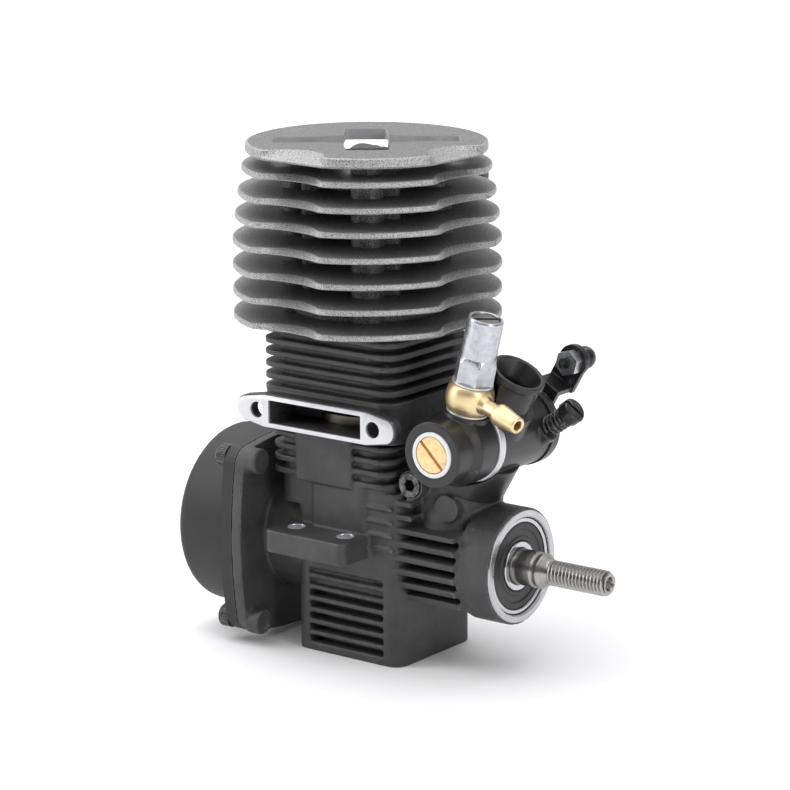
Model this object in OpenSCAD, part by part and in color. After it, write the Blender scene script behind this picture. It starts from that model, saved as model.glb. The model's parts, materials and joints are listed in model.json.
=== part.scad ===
// Small two-stroke glow engine with a rotary-barrel carburettor and a recoil starter.
// Frame: +X along the crankshaft to the threaded end, -Y to the exhaust side, +Z up the cylinder.
// The origin is where the crankshaft's axis meets the cylinder's axis. All sizes are millimetres.

/* [Cylinder] */
// Cylinder bore diameter
bore_d = 16.5; // [16:0.1:16.8]
// Stroke of the piston
stroke = 14; // [13:0.1:14]
// Centre distance of the connecting rod
rod_length = 26; // [25.5:0.1:26]
// Height of the crankcase's top face
deck_z = 43.9; // [43.5:0.1:44.5]

/* [Cooling head] */
// Radius of the lower cooling plates
head_r = 26.2; // [25:0.1:27]
// Radius of the top cooling plate
head_top_r = 23.5; // [22:0.1:25]
// Direction of the head's main slot, in degrees from +X
head_turn = 308; // [300:1:315]
// Number of cooling plates
plate_count = 8; // [7:1:8]

/* [Crankcase] */
// Distance between the two rows of bearer holes
bearer_span = 31; // [30:0.5:32]
// Distance between the two holes of one lug
bearer_pitch = 12; // [11:0.5:13]
// Width of the engine across its lugs
lug_span = 42; // [41:0.5:44]
// Radius of the bearer holes
bearer_hole_r = 1.6; // [1.5:0.05:1.7]
// Height of the foot's underside
foot_z = -21.4; // [-22:0.1:-21]
// Radius of the nose drum
nose_r = 11.4; // [11:0.1:12]

/* [Crankshaft] */
// Diameter of the front journal
shaft_d = 7; // [6.5:0.1:7]
// Diameter of the drive thread
thread_d = 5; // [4.8:0.1:5]
// Distance of the shaft's tip from the cylinder's axis
shaft_tip_x = 56.8; // [54:0.1:58]

/* [Carburettor] */
// Distance of the throttle barrel's axis in front of the cylinder
carb_x = 27.85; // [27.5:0.05:28.2]
// Height of the throttle barrel's axis above the crankshaft
carb_z = 24.15; // [24:0.05:24.5]
// Forward tilt of the air intake
intake_tilt = 30; // [29:0.5:31]
// Forward tilt of the main needle
needle_tilt = 13.5; // [12:0.5:15]

/* [Recoil starter] */
// Outer radius of the starter housing
starter_r = 18.27; // [18:0.05:18.5]
// Rear face of the starter housing
starter_rear_x = -34.87; // [-36:0.05:-34.5]
// Diameter of the starter rope
rope_d = 1.8; // [1.6:0.1:1.8]
// Length of the grip of the starter handle
handle_len = 34; // [30:1:36]

/* [Hidden] */
$fn = 48;
E = 0.01;                        // small overlap that keeps unions solid
bore_r = bore_d / 2;
throw = stroke / 2;
pin_tdc_z = throw + rod_length;  // height of the wrist pin at the top of the stroke
crown_z = pin_tdc_z + 7.4;       // height of the piston's crown there
liner_r = bore_r + 1.5;
chamber_r = 10.8;                // crank chamber
journal_r = 6;                   // rear journal of the crankshaft
run = 0.05;                      // radial clearance of a running fit
web_x = [3, 7.9];                // crank web from rear to front
rear_brg_x = [8.3, 13.3];        // 12 x 21 x 5 bearing
front_brg_x = [30.3, 36.3];      // 7 x 19 x 6 bearing
nose_x = [29, 36.84];
flange_x = [-21.4, -20, -18.7, -16.4];  // faces of the three flanges, from the rear
screw_yz = 16.4;                 // starter screws, from the crankshaft's axis
exhaust_z = 27.05;
exhaust_y = -17.3;
exhaust_hole_x = 14.15;
exhaust_window = [22.5, 4.6];    // width and height
fin_t = 1.15;
head_z0 = 44.9;                  // underside of the cooling head
head_screw_r = 13.2;             // distance of the head screws from the cylinder's axis
plate_z = [45.52, 50.37, 55.24, 60.21, 64.97, 69.49, 74.2, 78.14];
plate_inset = [0, 0, 0, 0.05, 0.53, 1.16, 1.96, head_r - head_top_r];
needle_y = -8;                   // plane of the needle column
stem_bottom = -16.8;             // carburettor stem, measured up the intake's axis
neck_top = -9.4;
pulley_x = [-29.8, -23.2];
rope_x = -26.5;
rope_r = rope_d / 2;
rope_wrap_r = 12.7;              // centre line of the outer turns on the pulley
rope_exit_turn = 15.7;           // lean of the rope's exit towards +Y, in degrees
rope_out = 16.3;                 // tangent length from the pulley to the eyelet's mouth
eyelet_mouth = [rope_x,
                rope_wrap_r * cos(rope_exit_turn) + rope_out * sin(rope_exit_turn),
                -rope_wrap_r * sin(rope_exit_turn) + rope_out * cos(rope_exit_turn)];
handle_pos = [-11.7, 31.4, 68];
rope_vec = handle_pos - eyelet_mouth;
rope_len = norm(rope_vec);
handle_foot = 9;                 // the rope enters the handle this far below its grip
lever_tilt = 30;                 // the throttle lever stands along the intake
idle_pos = [41.2, 10, 29.1];     // centre of the idle screw's head
idle_tilt = 54;                  // lean of the idle screw from +Z towards +X

// ---- helpers ----

// Round bar along X from x0 to x1.
module xbar(r, x0, x1, y = 0, z = 0) {
    translate([x0, y, z]) rotate([0, 90, 0]) cylinder(r = r, h = x1 - x0);
}

// Cone along X from radius r0 at x0 to radius r1 at x1.
module xcone(r0, r1, x0, x1) {
    translate([x0, 0, 0]) rotate([0, 90, 0]) cylinder(r1 = r0, r2 = r1, h = x1 - x0);
}

// Round bar along Y from y0 to y1.
module ybar(r, y0, y1, x = 0, z = 0) {
    translate([x, y0, z]) rotate([-90, 0, 0]) cylinder(r = r, h = y1 - y0);
}

// Round bar along Z from z0 to z1.
module zbar(r, z0, z1, x = 0, y = 0) {
    translate([x, y, z0]) cylinder(r = r, h = z1 - z0);
}

// Box between two corners.
module box(lo, hi) {
    translate(lo) cube(hi - lo);
}

// Outline of a rectangle with round corners, from [x0, y0] to [x1, y1].
function round_rect(x0, y0, x1, y1, r, n = 7) = [
    for (c = [[x1 - r, y1 - r, 0], [x0 + r, y1 - r, 90], [x0 + r, y0 + r, 180], [x1 - r, y0 + r, 270]])
        for (i = [0 : n]) [c[0] + r * cos(c[2] + 90 * i / n), c[1] + r * sin(c[2] + 90 * i / n)]
];

// Block with upright round corners.
module slab(x0, x1, y, z0, z1, r) {
    translate([0, 0, z0]) linear_extrude(z1 - z0) polygon(round_rect(x0, -y, x1, y, r));
}

// Everything inside stands on the throttle barrel's axis, leaning forward by tilt.
module on_carb(tilt, y = 0) {
    translate([carb_x, y, carb_z]) rotate([0, tilt, 0]) children();
}

// Everything inside is set at the four corners of the starter's flange.
module at_starter_screws() {
    for (y = [-1, 1]) for (z = [-1, 1]) translate([0, y * screw_yz, z * screw_yz]) children();
}

// Everything inside is set at the four head screws.
module at_head_screws() {
    for (k = [0 : 3]) rotate([0, 0, head_turn + 90 * k]) translate([head_screw_r, 0, 0]) children();
}

// Near-square flange outline whose sides bulge between round corners.
function flange_outline(half = 19, bulge = 1.3, r = 4, n = 6) = [
    for (k = [0 : 3]) let (a = 90 * k, s = half - r)
        for (p = concat(
            [for (i = [0 : n]) [s + r * cos(-45 + 90 * i / n + 45), s + r * sin(-45 + 90 * i / n + 45)]],
            [for (i = [1 : n]) let (u = s - 2 * s * i / (n + 1)) [u, half + bulge * (1 - pow(u / s, 2))]]))
            [p[0] * cos(a) - p[1] * sin(a), p[0] * sin(a) + p[1] * cos(a)]
];

module flange(x0, x1) {
    translate([x0, 0, 0]) rotate([90, 0, 90]) linear_extrude(x1 - x0) polygon(flange_outline());
}

// ---- crankcase ----

fin_levels = [for (i = [0 : 5]) 42.6 - 2.35 * i];
waist_fin_levels = [for (i = [0 : 3]) 21.9 - 2.45 * i];
nose_fin_levels = [for (i = [0 : 7]) 11.7 - 2.7 * i];
foot_fin_levels = [for (i = [0 : 5]) -6 - 2.36 * i];

module exhaust_flange_outline() {
    half = 3.45;
    polygon(concat(
        [for (i = [-4 : 4]) [16.7 + 2.7 * cos(17 * i), 2.7 * sin(17 * i)]],
        [[12.45, half], [-12.45, half]],
        [for (i = [-4 : 4]) [-16.7 - 2.7 * cos(17 * i), -2.7 * sin(17 * i)]],
        [[-12.45, -half], [12.45, -half]]));
}

module exhaust_duct() {
    translate([0, exhaust_y + 2.6, exhaust_z]) rotate([90, 0, 0]) linear_extrude(2.6) exhaust_flange_outline();
    box([-13.2, exhaust_y + 1, exhaust_z - 3.3], [13.2, -9, exhaust_z + 3.3]);
}

module jacket() {
    slab(-13.6, 13.6, 12.4, 8, deck_z, 4.2);
    for (z = fin_levels) slab(-16.5, 16.5, 14, z - fin_t / 2, z + fin_t / 2, 4);
    slab(-16.4, 16.4, 13.9, 23.2, 30.6, 4);
    for (z = waist_fin_levels) slab(-14.8, 14.8, 13.4, z - 0.55, z + 0.55, 3.6);
    box([-7.4, -13.9, 13.4], [6.15, -10, 23.4]);
    for (m = [0, 1]) mirror([0, m, 0])
        translate([0, 0, 3]) linear_extrude(10.8) polygon(round_rect(-4.5, -13.4, 9.2, 0, 1.6, 4));
}

module lugs() {
    slab(-9.9, 9.5, lug_span / 2, 0, 4.45, 1.6);
}

module foot() {
    slab(-9.2, 16.5, 12.4, foot_z, 13.3, 3);
    for (m = [0, 1]) mirror([0, m, 0])
        for (z = [2.2, 4.9, 7.6, 10.3]) box([8, -12.9, z - 0.35], [15.2, -11, z + 0.35]);
}

module foot_recesses() {
    for (m = [0, 1]) mirror([0, m, 0]) difference() {
        union() {
            box([-5.6, -13, -19.7], [12.6, -11.2, -4.4]);
            box([-5.6, -13, -19.7], [12.6, -9.6, -9.2]);
        }
        for (z = foot_fin_levels) box([-6, -13.5, z - 0.5], [13, -9, z + 0.5]);
    }
}

module nose() {
    xbar(8.3, 14, 30);
    intersection() {
        union() {
            xbar(12.2, 14, nose_x[0] + E);
            box([14, -11.9, 0], [nose_x[0] + E, 11.9, 13]);
        }
        // the two upper fins stop short of the carburettor's neck
        union() for (z = nose_fin_levels)
            box([13, -13, z - 0.55], [z > 8 ? 19 : nose_x[0] + 1, 13, z + 0.55]);
    }
    xbar(nose_r, nose_x[0], nose_x[1] - 0.4);
    xcone(nose_r, nose_r - 0.35, nose_x[1] - 0.4, nose_x[1]);
}

module carburettor_neck() {
    on_carb(intake_tilt) zbar(8.2, -21, neck_top);
    ybar(2.8, -11, -3, 18.2, 15.5);
    ybar(2.7, -8.7, -3, 25, 11.4);
}

module rear_flange() {
    xbar(12.6, -17, 10);
    flange(flange_x[2], flange_x[3]);
    at_starter_screws() xbar(2.5, -17, -13.8);
}

module crankcase_cuts() {
    // cylinder bore, liner seat and crank chamber
    zbar(liner_r + run, 0, deck_z + 1);
    zbar(11.25, 42.4, deck_z + 1);
    xbar(chamber_r, flange_x[2] - 1, rear_brg_x[0]);
    box([-2.9, -3.8, -11.9], [2.9, 3.8, -8]);
    xbar(10.5, 0, rear_brg_x[1]);
    xbar(8.9, 10, rear_brg_x[1] + 0.5);
    // front housing
    xbar(journal_r + run, 10, 31);
    xbar(7.5, front_brg_x[0] - 0.5, 31);
    xbar(9.5, front_brg_x[0], 40);
    // carburettor seat and air passage down to the shaft
    on_carb(intake_tilt) zbar(5.6, stem_bottom, 0);
    on_carb(intake_tilt) zbar(3.8, -22, 0);
    ybar(1.5, -12, -4.9, 18.2, 15.5);
    ybar(2.45, -12, -8.4, 18.2, 15.5);
    // exhaust window and its bolt holes
    box([-exhaust_window[0] / 2, exhaust_y - 1, exhaust_z - exhaust_window[1] / 2],
        [exhaust_window[0] / 2, -8.6, exhaust_z + exhaust_window[1] / 2]);
    for (s = [-1, 1]) ybar(1.6, exhaust_y - 1, -12.6, s * exhaust_hole_x, exhaust_z);
    // transfer passages beside the liner
    for (s = [-1, 1]) box([s > 0 ? 6 : -12.2, -4.5, 6], [s > 0 ? 12.2 : -6, 4.5, 30.5]);
    // bearer, head and starter screws
    for (x = [-1, 1]) for (y = [-1, 1])
        zbar(bearer_hole_r, -1, 6, x * bearer_pitch / 2, y * bearer_span / 2);
    at_head_screws() zbar(1.25, 36, deck_z + 1);
    at_starter_screws() xbar(1.3, flange_x[2] - 1, -14.4);
}

module crankcase() {
    color([0.16, 0.16, 0.17]) difference() {
        union() {
            jacket();
            exhaust_duct();
            lugs();
            difference() {
                foot();
                foot_recesses();
            }
            nose();
            carburettor_neck();
            rear_flange();
        }
        crankcase_cuts();
    }
}

// ---- cylinder and head ----

module cylinder_liner() {
    color([0.72, 0.68, 0.6]) difference() {
        union() {
            zbar(liner_r, 15, deck_z);
            zbar(11.2, 42.4, deck_z);
        }
        zbar(bore_r, 14, deck_z + 1);
        box([-6.2, -12, 26.4], [6.2, 0, 30.4]);
        box([-3.5, 0, 26.4], [3.5, 12, 29.8]);
        for (s = [-1, 1]) box([s > 0 ? 0 : -12, -3.6, 26.4], [s > 0 ? 12 : 0, 3.6, 29.4]);
    }
}

module head_gasket() {
    color([0.72, 0.42, 0.26]) difference() {
        zbar(11.2, deck_z, deck_z + 0.3);
        zbar(bore_r + 0.2, deck_z - 1, deck_z + 1);
    }
}

module head_button() {
    color([0.8, 0.8, 0.82]) difference() {
        union() {
            zbar(11.5, deck_z + 0.3, 47);
            zbar(bore_r - 0.1, crown_z + 0.6, 45);
        }
        translate([0, 0, crown_z - 2.2]) sphere(r = 5.6);
        zbar(3.175, 40, 50);
    }
}

// One cooling plate with sloping scallops toward the exhaust and the carburettor.
module plate(k) {
    r = head_r - plate_inset[k];
    t = k == plate_count - 1 ? 1.15 : 0.62;
    z = plate_z[k];
    difference() {
        zbar(r, z - t, z + t);
        for (turn = [268, 358]) rotate([0, 0, turn])
            translate([r + 5.3, 0, z - t - E]) cylinder(r1 = 6.4, r2 = 11, h = 2 * t + 2 * E);
    }
}

module head_core() {
    core_z0 = head_z0 + 0.4;
    core_top = 77.4;
    zbar(8.6, core_z0, core_top);
    zbar(14.5, core_z0, 48.6);
    at_head_screws() zbar(3.2, core_z0, core_top);
    rotate([0, 0, head_turn]) {
        box([-head_screw_r, -1.5, core_z0], [head_screw_r, 1.5, core_top]);
        box([-1.5, -head_screw_r, core_z0], [1.5, head_screw_r, core_top]);
    }
}

module cooling_head() {
    color([0.66, 0.66, 0.67]) difference() {
        union() {
            head_core();
            for (k = [0 : plate_count - 1]) plate(k);
        }
        // seat of the head button and the glow plug's well
        zbar(11.6, head_z0 - 1, 47);
        zbar(6, 46, 80);
        // head screws, seen through a window in each column
        at_head_screws() zbar(1.4, head_z0 - 1, 56);
        at_head_screws() zbar(2.4, 52, 80);
        at_head_screws() box([1.2, -1.6, 56.4], [5, 1.6, 59.3]);
        // cross-shaped slot through the top plate
        rotate([0, 0, head_turn]) {
            box([-13.2, -4.3, 76.2], [13.2, 4.3, 80]);
            box([-2.45, -18.1, 76.2], [2.45, 18.1, 80]);
            // opening behind the slot, under the top plate and through the rim of the next one
            box([-18, -4.3, 74.6], [-7, 4.3, 77.1]);
            box([-25, -4.3, 73], [-15.2, 4.3, 75.5]);
        }
    }
}

module head_screws() {
    color([0.3, 0.3, 0.32]) at_head_screws() difference() {
        union() {
            zbar(1.25, 37, 52.5);
            zbar(2.25, 52, 54.5);
        }
        translate([0, 0, 53.2]) cylinder(r = 1.15, h = 2, $fn = 6);
    }
}

module glow_plug() {
    color([0.78, 0.76, 0.7]) {
        zbar(3.175, 43, 47.4);
        translate([0, 0, 47.4]) cylinder(r = 4.6, h = 3.2, $fn = 6);
        zbar(3.4, 50.6, 51.6);
        zbar(1.5, 51.6, 56);
        translate([0, 0, 56]) sphere(r = 1.9);
    }
}

module glow_plug_washer() {
    color([0.75, 0.45, 0.28]) difference() {
        zbar(4.7, 47, 47.4);
        zbar(3.175, 46, 48);
    }
}

// ---- bearings ----

// Ring about X with a ball track of radius ball_r cut at pitch_r.
module race(inner, outer, x0, x1, pitch_r, ball_r) {
    rotate([0, 90, 0]) difference() {
        zbar(outer, x0, x1);
        zbar(inner, x0 - 1, x1 + 1);
        rotate_extrude() translate([pitch_r, (x0 + x1) / 2]) circle(r = ball_r + run);
    }
}

// Caged ball set about X.
module ball_set(count, x, pitch_r, ball_r) {
    for (k = [0 : count - 1]) rotate([360 * k / count, 0, 0])
        translate([x, 0, pitch_r]) sphere(r = ball_r, $fn = 24);
    rotate([0, 90, 0]) translate([0, 0, x - 0.5]) difference() {
        cylinder(r = pitch_r + 0.35, h = 1);
        translate([0, 0, -1]) cylinder(r = pitch_r - 0.35, h = 3);
    }
}

front_pitch_r = 6.45;
front_ball_r = 1.75;
rear_pitch_r = 8.25;
rear_ball_r = 1.35;
front_mid_x = (front_brg_x[0] + front_brg_x[1]) / 2;
rear_mid_x = (rear_brg_x[0] + rear_brg_x[1]) / 2;

module front_bearing_outer_race() {
    color([0.78, 0.78, 0.8]) difference() {
        race(8.0, 9.5, front_brg_x[0], front_brg_x[1], front_pitch_r, front_ball_r);
        xbar(8.55, front_brg_x[1] - 0.95, front_brg_x[1] + 1);
    }
}

module front_bearing_inner_race() {
    color([0.78, 0.78, 0.8])
        race(shaft_d / 2, 4.85, front_brg_x[0], front_brg_x[1], front_pitch_r, front_ball_r);
}

module front_bearing_balls() {
    color([0.85, 0.85, 0.87]) ball_set(7, front_mid_x, front_pitch_r, front_ball_r);
}

module front_bearing_seal() {
    color([0.06, 0.06, 0.06]) difference() {
        xbar(8.55, front_brg_x[1] - 0.95, front_brg_x[1] - 0.2);
        xbar(4.92, front_brg_x[1] - 2, front_brg_x[1] + 1);
    }
}

module rear_bearing_outer_race() {
    color([0.78, 0.78, 0.8])
        race(9.1, 10.5, rear_brg_x[0], rear_brg_x[1], rear_pitch_r, rear_ball_r);
}

module rear_bearing_inner_race() {
    color([0.78, 0.78, 0.8])
        race(journal_r, 7.4, rear_brg_x[0], rear_brg_x[1], rear_pitch_r, rear_ball_r);
}

module rear_bearing_balls() {
    color([0.85, 0.85, 0.87]) ball_set(11, rear_mid_x, rear_pitch_r, rear_ball_r);
}

// ---- crank train ----

module crankshaft() {
    neck_x = 43.5;
    color([0.74, 0.74, 0.75]) difference() {
        union() {
            difference() {
                xbar(10.2, web_x[0], web_x[1]);
                for (m = [0, 1]) mirror([0, m, 0]) box([2, 5.4, -1.5], [7, 12, 12]);
            }
            xbar(7, web_x[1] - E, rear_brg_x[0]);
            xbar(journal_r, rear_brg_x[0] - E, front_brg_x[0]);
            xbar(shaft_d / 2, front_brg_x[0] - E, 41.9);
            xcone(shaft_d / 2, thread_d / 2, 41.9 - E, neck_x);
            xbar(thread_d / 2, neck_x - E, shaft_tip_x - 0.7);
            xcone(thread_d / 2, thread_d / 2 - 0.6, shaft_tip_x - 0.7 - E, shaft_tip_x);
        }
        xbar(3.8, 2, 22);
        box([13.9, -4.4, 0], [20.9, 4.4, 8]);
        xbar(1.25, shaft_tip_x - 7, shaft_tip_x + 1);
    }
}

module crankpin() {
    color([0.8, 0.8, 0.82]) xbar(2.5, -2.8, 2.7, 0, throw);
}

module connecting_rod() {
    color([0.7, 0.7, 0.72]) difference() {
        union() {
            xbar(4.6, -2.4, 2.4, 0, throw);
            xbar(3.6, -2.4, 2.4, 0, pin_tdc_z);
            box([-1.6, -2.3, throw + 2], [1.6, 2.3, pin_tdc_z - 2]);
        }
        xbar(3.1, -3, 3, 0, throw);
        xbar(2.75, -3, 3, 0, pin_tdc_z);
        for (s = [-1, 1]) box([s > 0 ? 0.8 : -2, -1.4, throw + 6], [s > 0 ? 2 : -0.8, 1.4, pin_tdc_z - 5]);
        xbar(0.6, -3, 3, 0, throw - 3.9);
    }
}

module bush(inner, outer, z) {
    color([0.72, 0.5, 0.28]) difference() {
        xbar(outer, -2.4, 2.4, 0, z);
        xbar(inner, -3, 3, 0, z);
    }
}

module big_end_bush() { bush(2.5, 3.1, throw); }

module small_end_bush() { bush(2.25, 2.75, pin_tdc_z); }

module wrist_pin() {
    color([0.8, 0.8, 0.82]) difference() {
        xbar(2.25, -6.6, 6.6, 0, pin_tdc_z);
        xbar(1.3, -7, 7, 0, pin_tdc_z);
    }
}

module wrist_pin_clips() {
    color([0.5, 0.5, 0.52]) for (s = [-1, 1]) difference() {
        xbar(2.25, s * 6.9 - 0.25, s * 6.9 + 0.25, 0, pin_tdc_z);
        xbar(1.7, s * 6.9 - 1, s * 6.9 + 1, 0, pin_tdc_z);
        box([-8, -0.7, pin_tdc_z + 1], [8, 0.7, pin_tdc_z + 3]);
    }
}

module piston() {
    color([0.74, 0.74, 0.74]) difference() {
        zbar(bore_r - run, pin_tdc_z - 5.6, crown_z);
        zbar(6.4, pin_tdc_z - 7, pin_tdc_z - 1);
        zbar(5.9, pin_tdc_z - 2, crown_z - 1.8);
        xbar(2.25, -9, 9, 0, pin_tdc_z);
    }
    color([0.74, 0.74, 0.74]) for (s = [-1, 1]) difference() {
        intersection() {
            zbar(bore_r - 1, pin_tdc_z - 4, crown_z - 1);
            box([s > 0 ? 3 : -6.5, -3.6, pin_tdc_z - 4], [s > 0 ? 6.5 : -3, 3.6, crown_z - 1]);
        }
        xbar(2.25, -9, 9, 0, pin_tdc_z);
    }
}

// ---- recoil starter ----

module backplate() {
    color([0.5, 0.5, 0.52]) difference() {
        union() {
            flange(flange_x[1], flange_x[2] - 0.2);
            xbar(chamber_r - 0.05, flange_x[2] - 0.3, -12);
        }
        xbar(9, -17, -11);
        xbar(3 + run, -25, -11);
        at_starter_screws() xbar(1.35, -25, -15);
    }
    color([0.5, 0.5, 0.52]) difference() {
        xbar(5, -17.5, -8.4);
        xbar(3 + run, -25, -5);
    }
}

module backplate_gasket() {
    color([0.45, 0.42, 0.36]) difference() {
        flange(flange_x[2] - 0.2, flange_x[2]);
        xbar(chamber_r, -25, -15);
        at_starter_screws() xbar(1.35, -25, -15);
    }
}

module starter_shaft() {
    color([0.7, 0.7, 0.72]) difference() {
        union() {
            xbar(3, -30, -7.4);
            xbar(8.8, -7.5, -3.4);
        }
        box([-9, -2.7, 4.2], [-3, 2.7, 12]);
    }
}

module one_way_bearing() {
    color([0.78, 0.78, 0.8]) difference() {
        xbar(5, pulley_x[0] + 0.3, pulley_x[1]);
        xbar(3 + run, -40, -20);
    }
}

module starter_pulley() {
    color([0.86, 0.86, 0.84]) difference() {
        xbar(14.2, pulley_x[0], pulley_x[1]);
        difference() {
            xbar(15, rope_x - 2, rope_x + 2);
            xbar(10, rope_x - 3, rope_x + 3);
        }
        xbar(5, -40, -20);
    }
}

// Flat spiral strip wound from the hub to the housing's wall.
module recoil_spring() {
    turns = 4;
    steps = 26 * turns;
    strip = 0.35;
    function spiral_r(i) = 5.2 + 10.2 * i / steps;
    function spiral_p(i, r) = [r * cos(360 * turns * i / steps), r * sin(360 * turns * i / steps)];
    color([0.55, 0.57, 0.6]) translate([-32.7, 0, 0]) rotate([90, 0, 90]) linear_extrude(2.4)
        polygon(concat(
            [for (i = [0 : steps]) spiral_p(i, spiral_r(i))],
            [for (i = [steps : -1 : 0]) spiral_p(i, spiral_r(i) + strip)]));
}

// Everything inside stands at the eyelet, with +Z along the rope's way out of the housing.
module at_rope_exit() {
    translate([rope_x, rope_wrap_r * cos(rope_exit_turn), -rope_wrap_r * sin(rope_exit_turn)])
        rotate([-rope_exit_turn, 0, 0]) children();
}

module starter_housing() {
    rim = 2.2;
    wall = 1.65;
    len = flange_x[1] - starter_rear_x;
    color([0.2, 0.2, 0.21]) difference() {
        union() {
            flange(flange_x[0], flange_x[1]);
            translate([flange_x[1], 0, 0]) rotate([0, -90, 0]) rotate_extrude($fn = 96)
                polygon(concat([[0, 0.5], [starter_r, 0.5]],
                    [for (i = [0 : 5]) [starter_r - rim + rim * cos(18 * i), len - rim + rim * sin(18 * i)]],
                    [[0, len]]));
            intersection() {
                at_rope_exit() zbar(3.3, 9, 15.2);
                xbar(30, -31, -21);
            }
        }
        xbar(starter_r - wall, starter_rear_x + 1.6, flange_x[1] + 1);
        at_rope_exit() zbar(2, 4, 20);
        at_starter_screws() xbar(1.35, -25, -15);
    }
    color([0.2, 0.2, 0.21]) xbar(4.2, starter_rear_x + 1, -30.4);
}

module starter_screws() {
    color([0.12, 0.12, 0.12]) at_starter_screws() difference() {
        union() {
            xbar(1.3, flange_x[0] - 0.2, -14.8);
            xbar(2.3, flange_x[0] - 2.6, flange_x[0]);
        }
        translate([flange_x[0] - 3, 0, 0]) rotate([0, 90, 0]) cylinder(r = 1.15, h = 1.8, $fn = 6);
    }
}

module rope_eyelet() {
    color([0.75, 0.72, 0.6]) at_rope_exit() difference() {
        union() {
            zbar(2, 10.6, 15.6);
            zbar(2.9, 15.2, rope_out);
        }
        zbar(1.1, 5, 20);
    }
}

// The taut rope: its turns on the pulley, the run to the eyelet and the run to the handle.
module starter_rope() {
    color([0.07, 0.07, 0.08]) {
        difference() {
            xbar(rope_wrap_r + rope_r + 0.1, rope_x - 2 * rope_r, rope_x + 2 * rope_r);
            xbar(10.1, rope_x - 3, rope_x + 3);
        }
        at_rope_exit() zbar(rope_r, 2, rope_out);
        translate(eyelet_mouth) sphere(r = rope_r + 0.06);
        translate(eyelet_mouth) rotate([0, acos(rope_vec[2] / rope_len), atan2(rope_vec[1], rope_vec[0])])
            zbar(rope_r, 0, rope_len - handle_foot);
    }
}

module starter_handle() {
    grip_r = 4.6;
    color([0.1, 0.1, 0.1]) difference() {
        union() {
            translate(handle_pos) xbar(grip_r, -handle_len / 2 + grip_r, handle_len / 2 - grip_r);
            for (s = [-1, 1]) translate(handle_pos + [s * (handle_len / 2 - grip_r), 0, 0])
                sphere(r = grip_r);
            translate(eyelet_mouth)
                rotate([0, acos(rope_vec[2] / rope_len), atan2(rope_vec[1], rope_vec[0])])
                    translate([0, 0, rope_len - handle_foot]) cylinder(r1 = 2, r2 = 3.6, h = 7);
        }
    }
}

// ---- carburettor ----

module carburettor_body() {
    color([0.13, 0.13, 0.14]) difference() {
        union() {
            ybar(7.6, -3.5, 12, carb_x, carb_z);
            on_carb(intake_tilt) {
                zbar(5.2, 0, 15.4);
                zbar(5.5, 14.6, 16);
                zbar(6.4, 4, 9);
                zbar(8.6, neck_top, -2);
                zbar(5.55, stem_bottom + 0.2, neck_top + E);
            }
            at_idle_screw() zbar(2.6, -12, -6.6);
        }
        ybar(5.25, -5, 15, carb_x, carb_z);
        // room for the ring and end cap, for the dust ring and for the fuel fitting's column
        ybar(7.9, -20, E - 3.5, carb_x, carb_z);
        ybar(8, 12 - E, 20, carb_x, carb_z);
        on_carb(needle_tilt, needle_y) {
            zbar(4.5, 0, 7.2);
            zbar(4.9, 7.1, 13.6);
            zbar(4.2, 13.5, 19);
        }
        on_carb(intake_tilt) {
            zbar(3, -20, 13);
            translate([0, 0, 12.6]) cylinder(r1 = 3, r2 = 4.7, h = 3.5);
            difference() {
                zbar(5.6, -14.6, -13);
                zbar(4.8, -15, -12);
            }
        }
        at_idle_screw() zbar(1.05, -13, 0);
    }
}

module carburettor_seal() {
    color([0.05, 0.05, 0.05]) on_carb(intake_tilt) difference() {
        zbar(5.58, -14.5, -13.1);
        zbar(4.85, -15, -12);
    }
}

module carburettor_end_cap() {
    color([0.13, 0.13, 0.14]) difference() {
        union() {
            ybar(6.4, -16.9, -12.5, carb_x, carb_z);
            translate([carb_x, -12.6, carb_z]) rotate([-90, 0, 0]) cylinder(r1 = 6.4, r2 = 7.4, h = 2);
            ybar(7.4, -10.6, -5.4, carb_x, carb_z);
            on_carb(needle_tilt, needle_y) zbar(4.4, 0, 7.1);
        }
        ybar(4.45, -18, -15.4, carb_x, carb_z);
        ybar(2.45, -18, -8, carb_x, carb_z);
        on_carb(needle_tilt, needle_y) {
            zbar(2, 1.5, 8);
            zbar(4.5, 7.1 - E, 12);
        }
        ybar(4, -7, -5, carb_x, carb_z);
        ybar(7.9, -5.4 - E, -3, carb_x, carb_z);
    }
}

module carburettor_ring() {
    color([0.85, 0.85, 0.86]) difference() {
        ybar(7.75, -5.4, -3.5, carb_x, carb_z);
        ybar(4, -6, -3, carb_x, carb_z);
        on_carb(needle_tilt, needle_y) zbar(4.3, 7, 15);
    }
}

module carburettor_screw() {
    color([0.1, 0.1, 0.1]) difference() {
        union() {
            ybar(1.5, -11, -5.1, 18.2, 15.5);
            ybar(2.35, -11.1, -8.6, 18.2, 15.5);
        }
        translate([18.2, -9.4, 15.5]) rotate([90, 0, 0]) cylinder(r = 1.3, h = 3, $fn = 6);
    }
}

module dust_ring() {
    color([0.12, 0.12, 0.12]) difference() {
        ybar(7.9, 12, 14.2, carb_x, carb_z);
        ybar(2.8, 11, 15, carb_x, carb_z);
    }
}

module low_speed_collar() {
    color([0.95, 0.95, 0.94]) difference() {
        ybar(4.43, -17.2, -15.4, carb_x, carb_z);
        ybar(3.6, -18, -16.4, carb_x, carb_z);
        ybar(2.45, -18, -15, carb_x, carb_z);
    }
}

module low_speed_needle() {
    color([0.83, 0.65, 0.38]) difference() {
        union() {
            ybar(3.5, -17.1, -16.45, carb_x, carb_z);
            ybar(2.4, -16.5, -8.6, carb_x, carb_z);
        }
        translate([carb_x, -17.1, carb_z]) rotate([0, 45, 0]) cube([8, 0.7, 0.75], center = true);
    }
}

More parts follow.
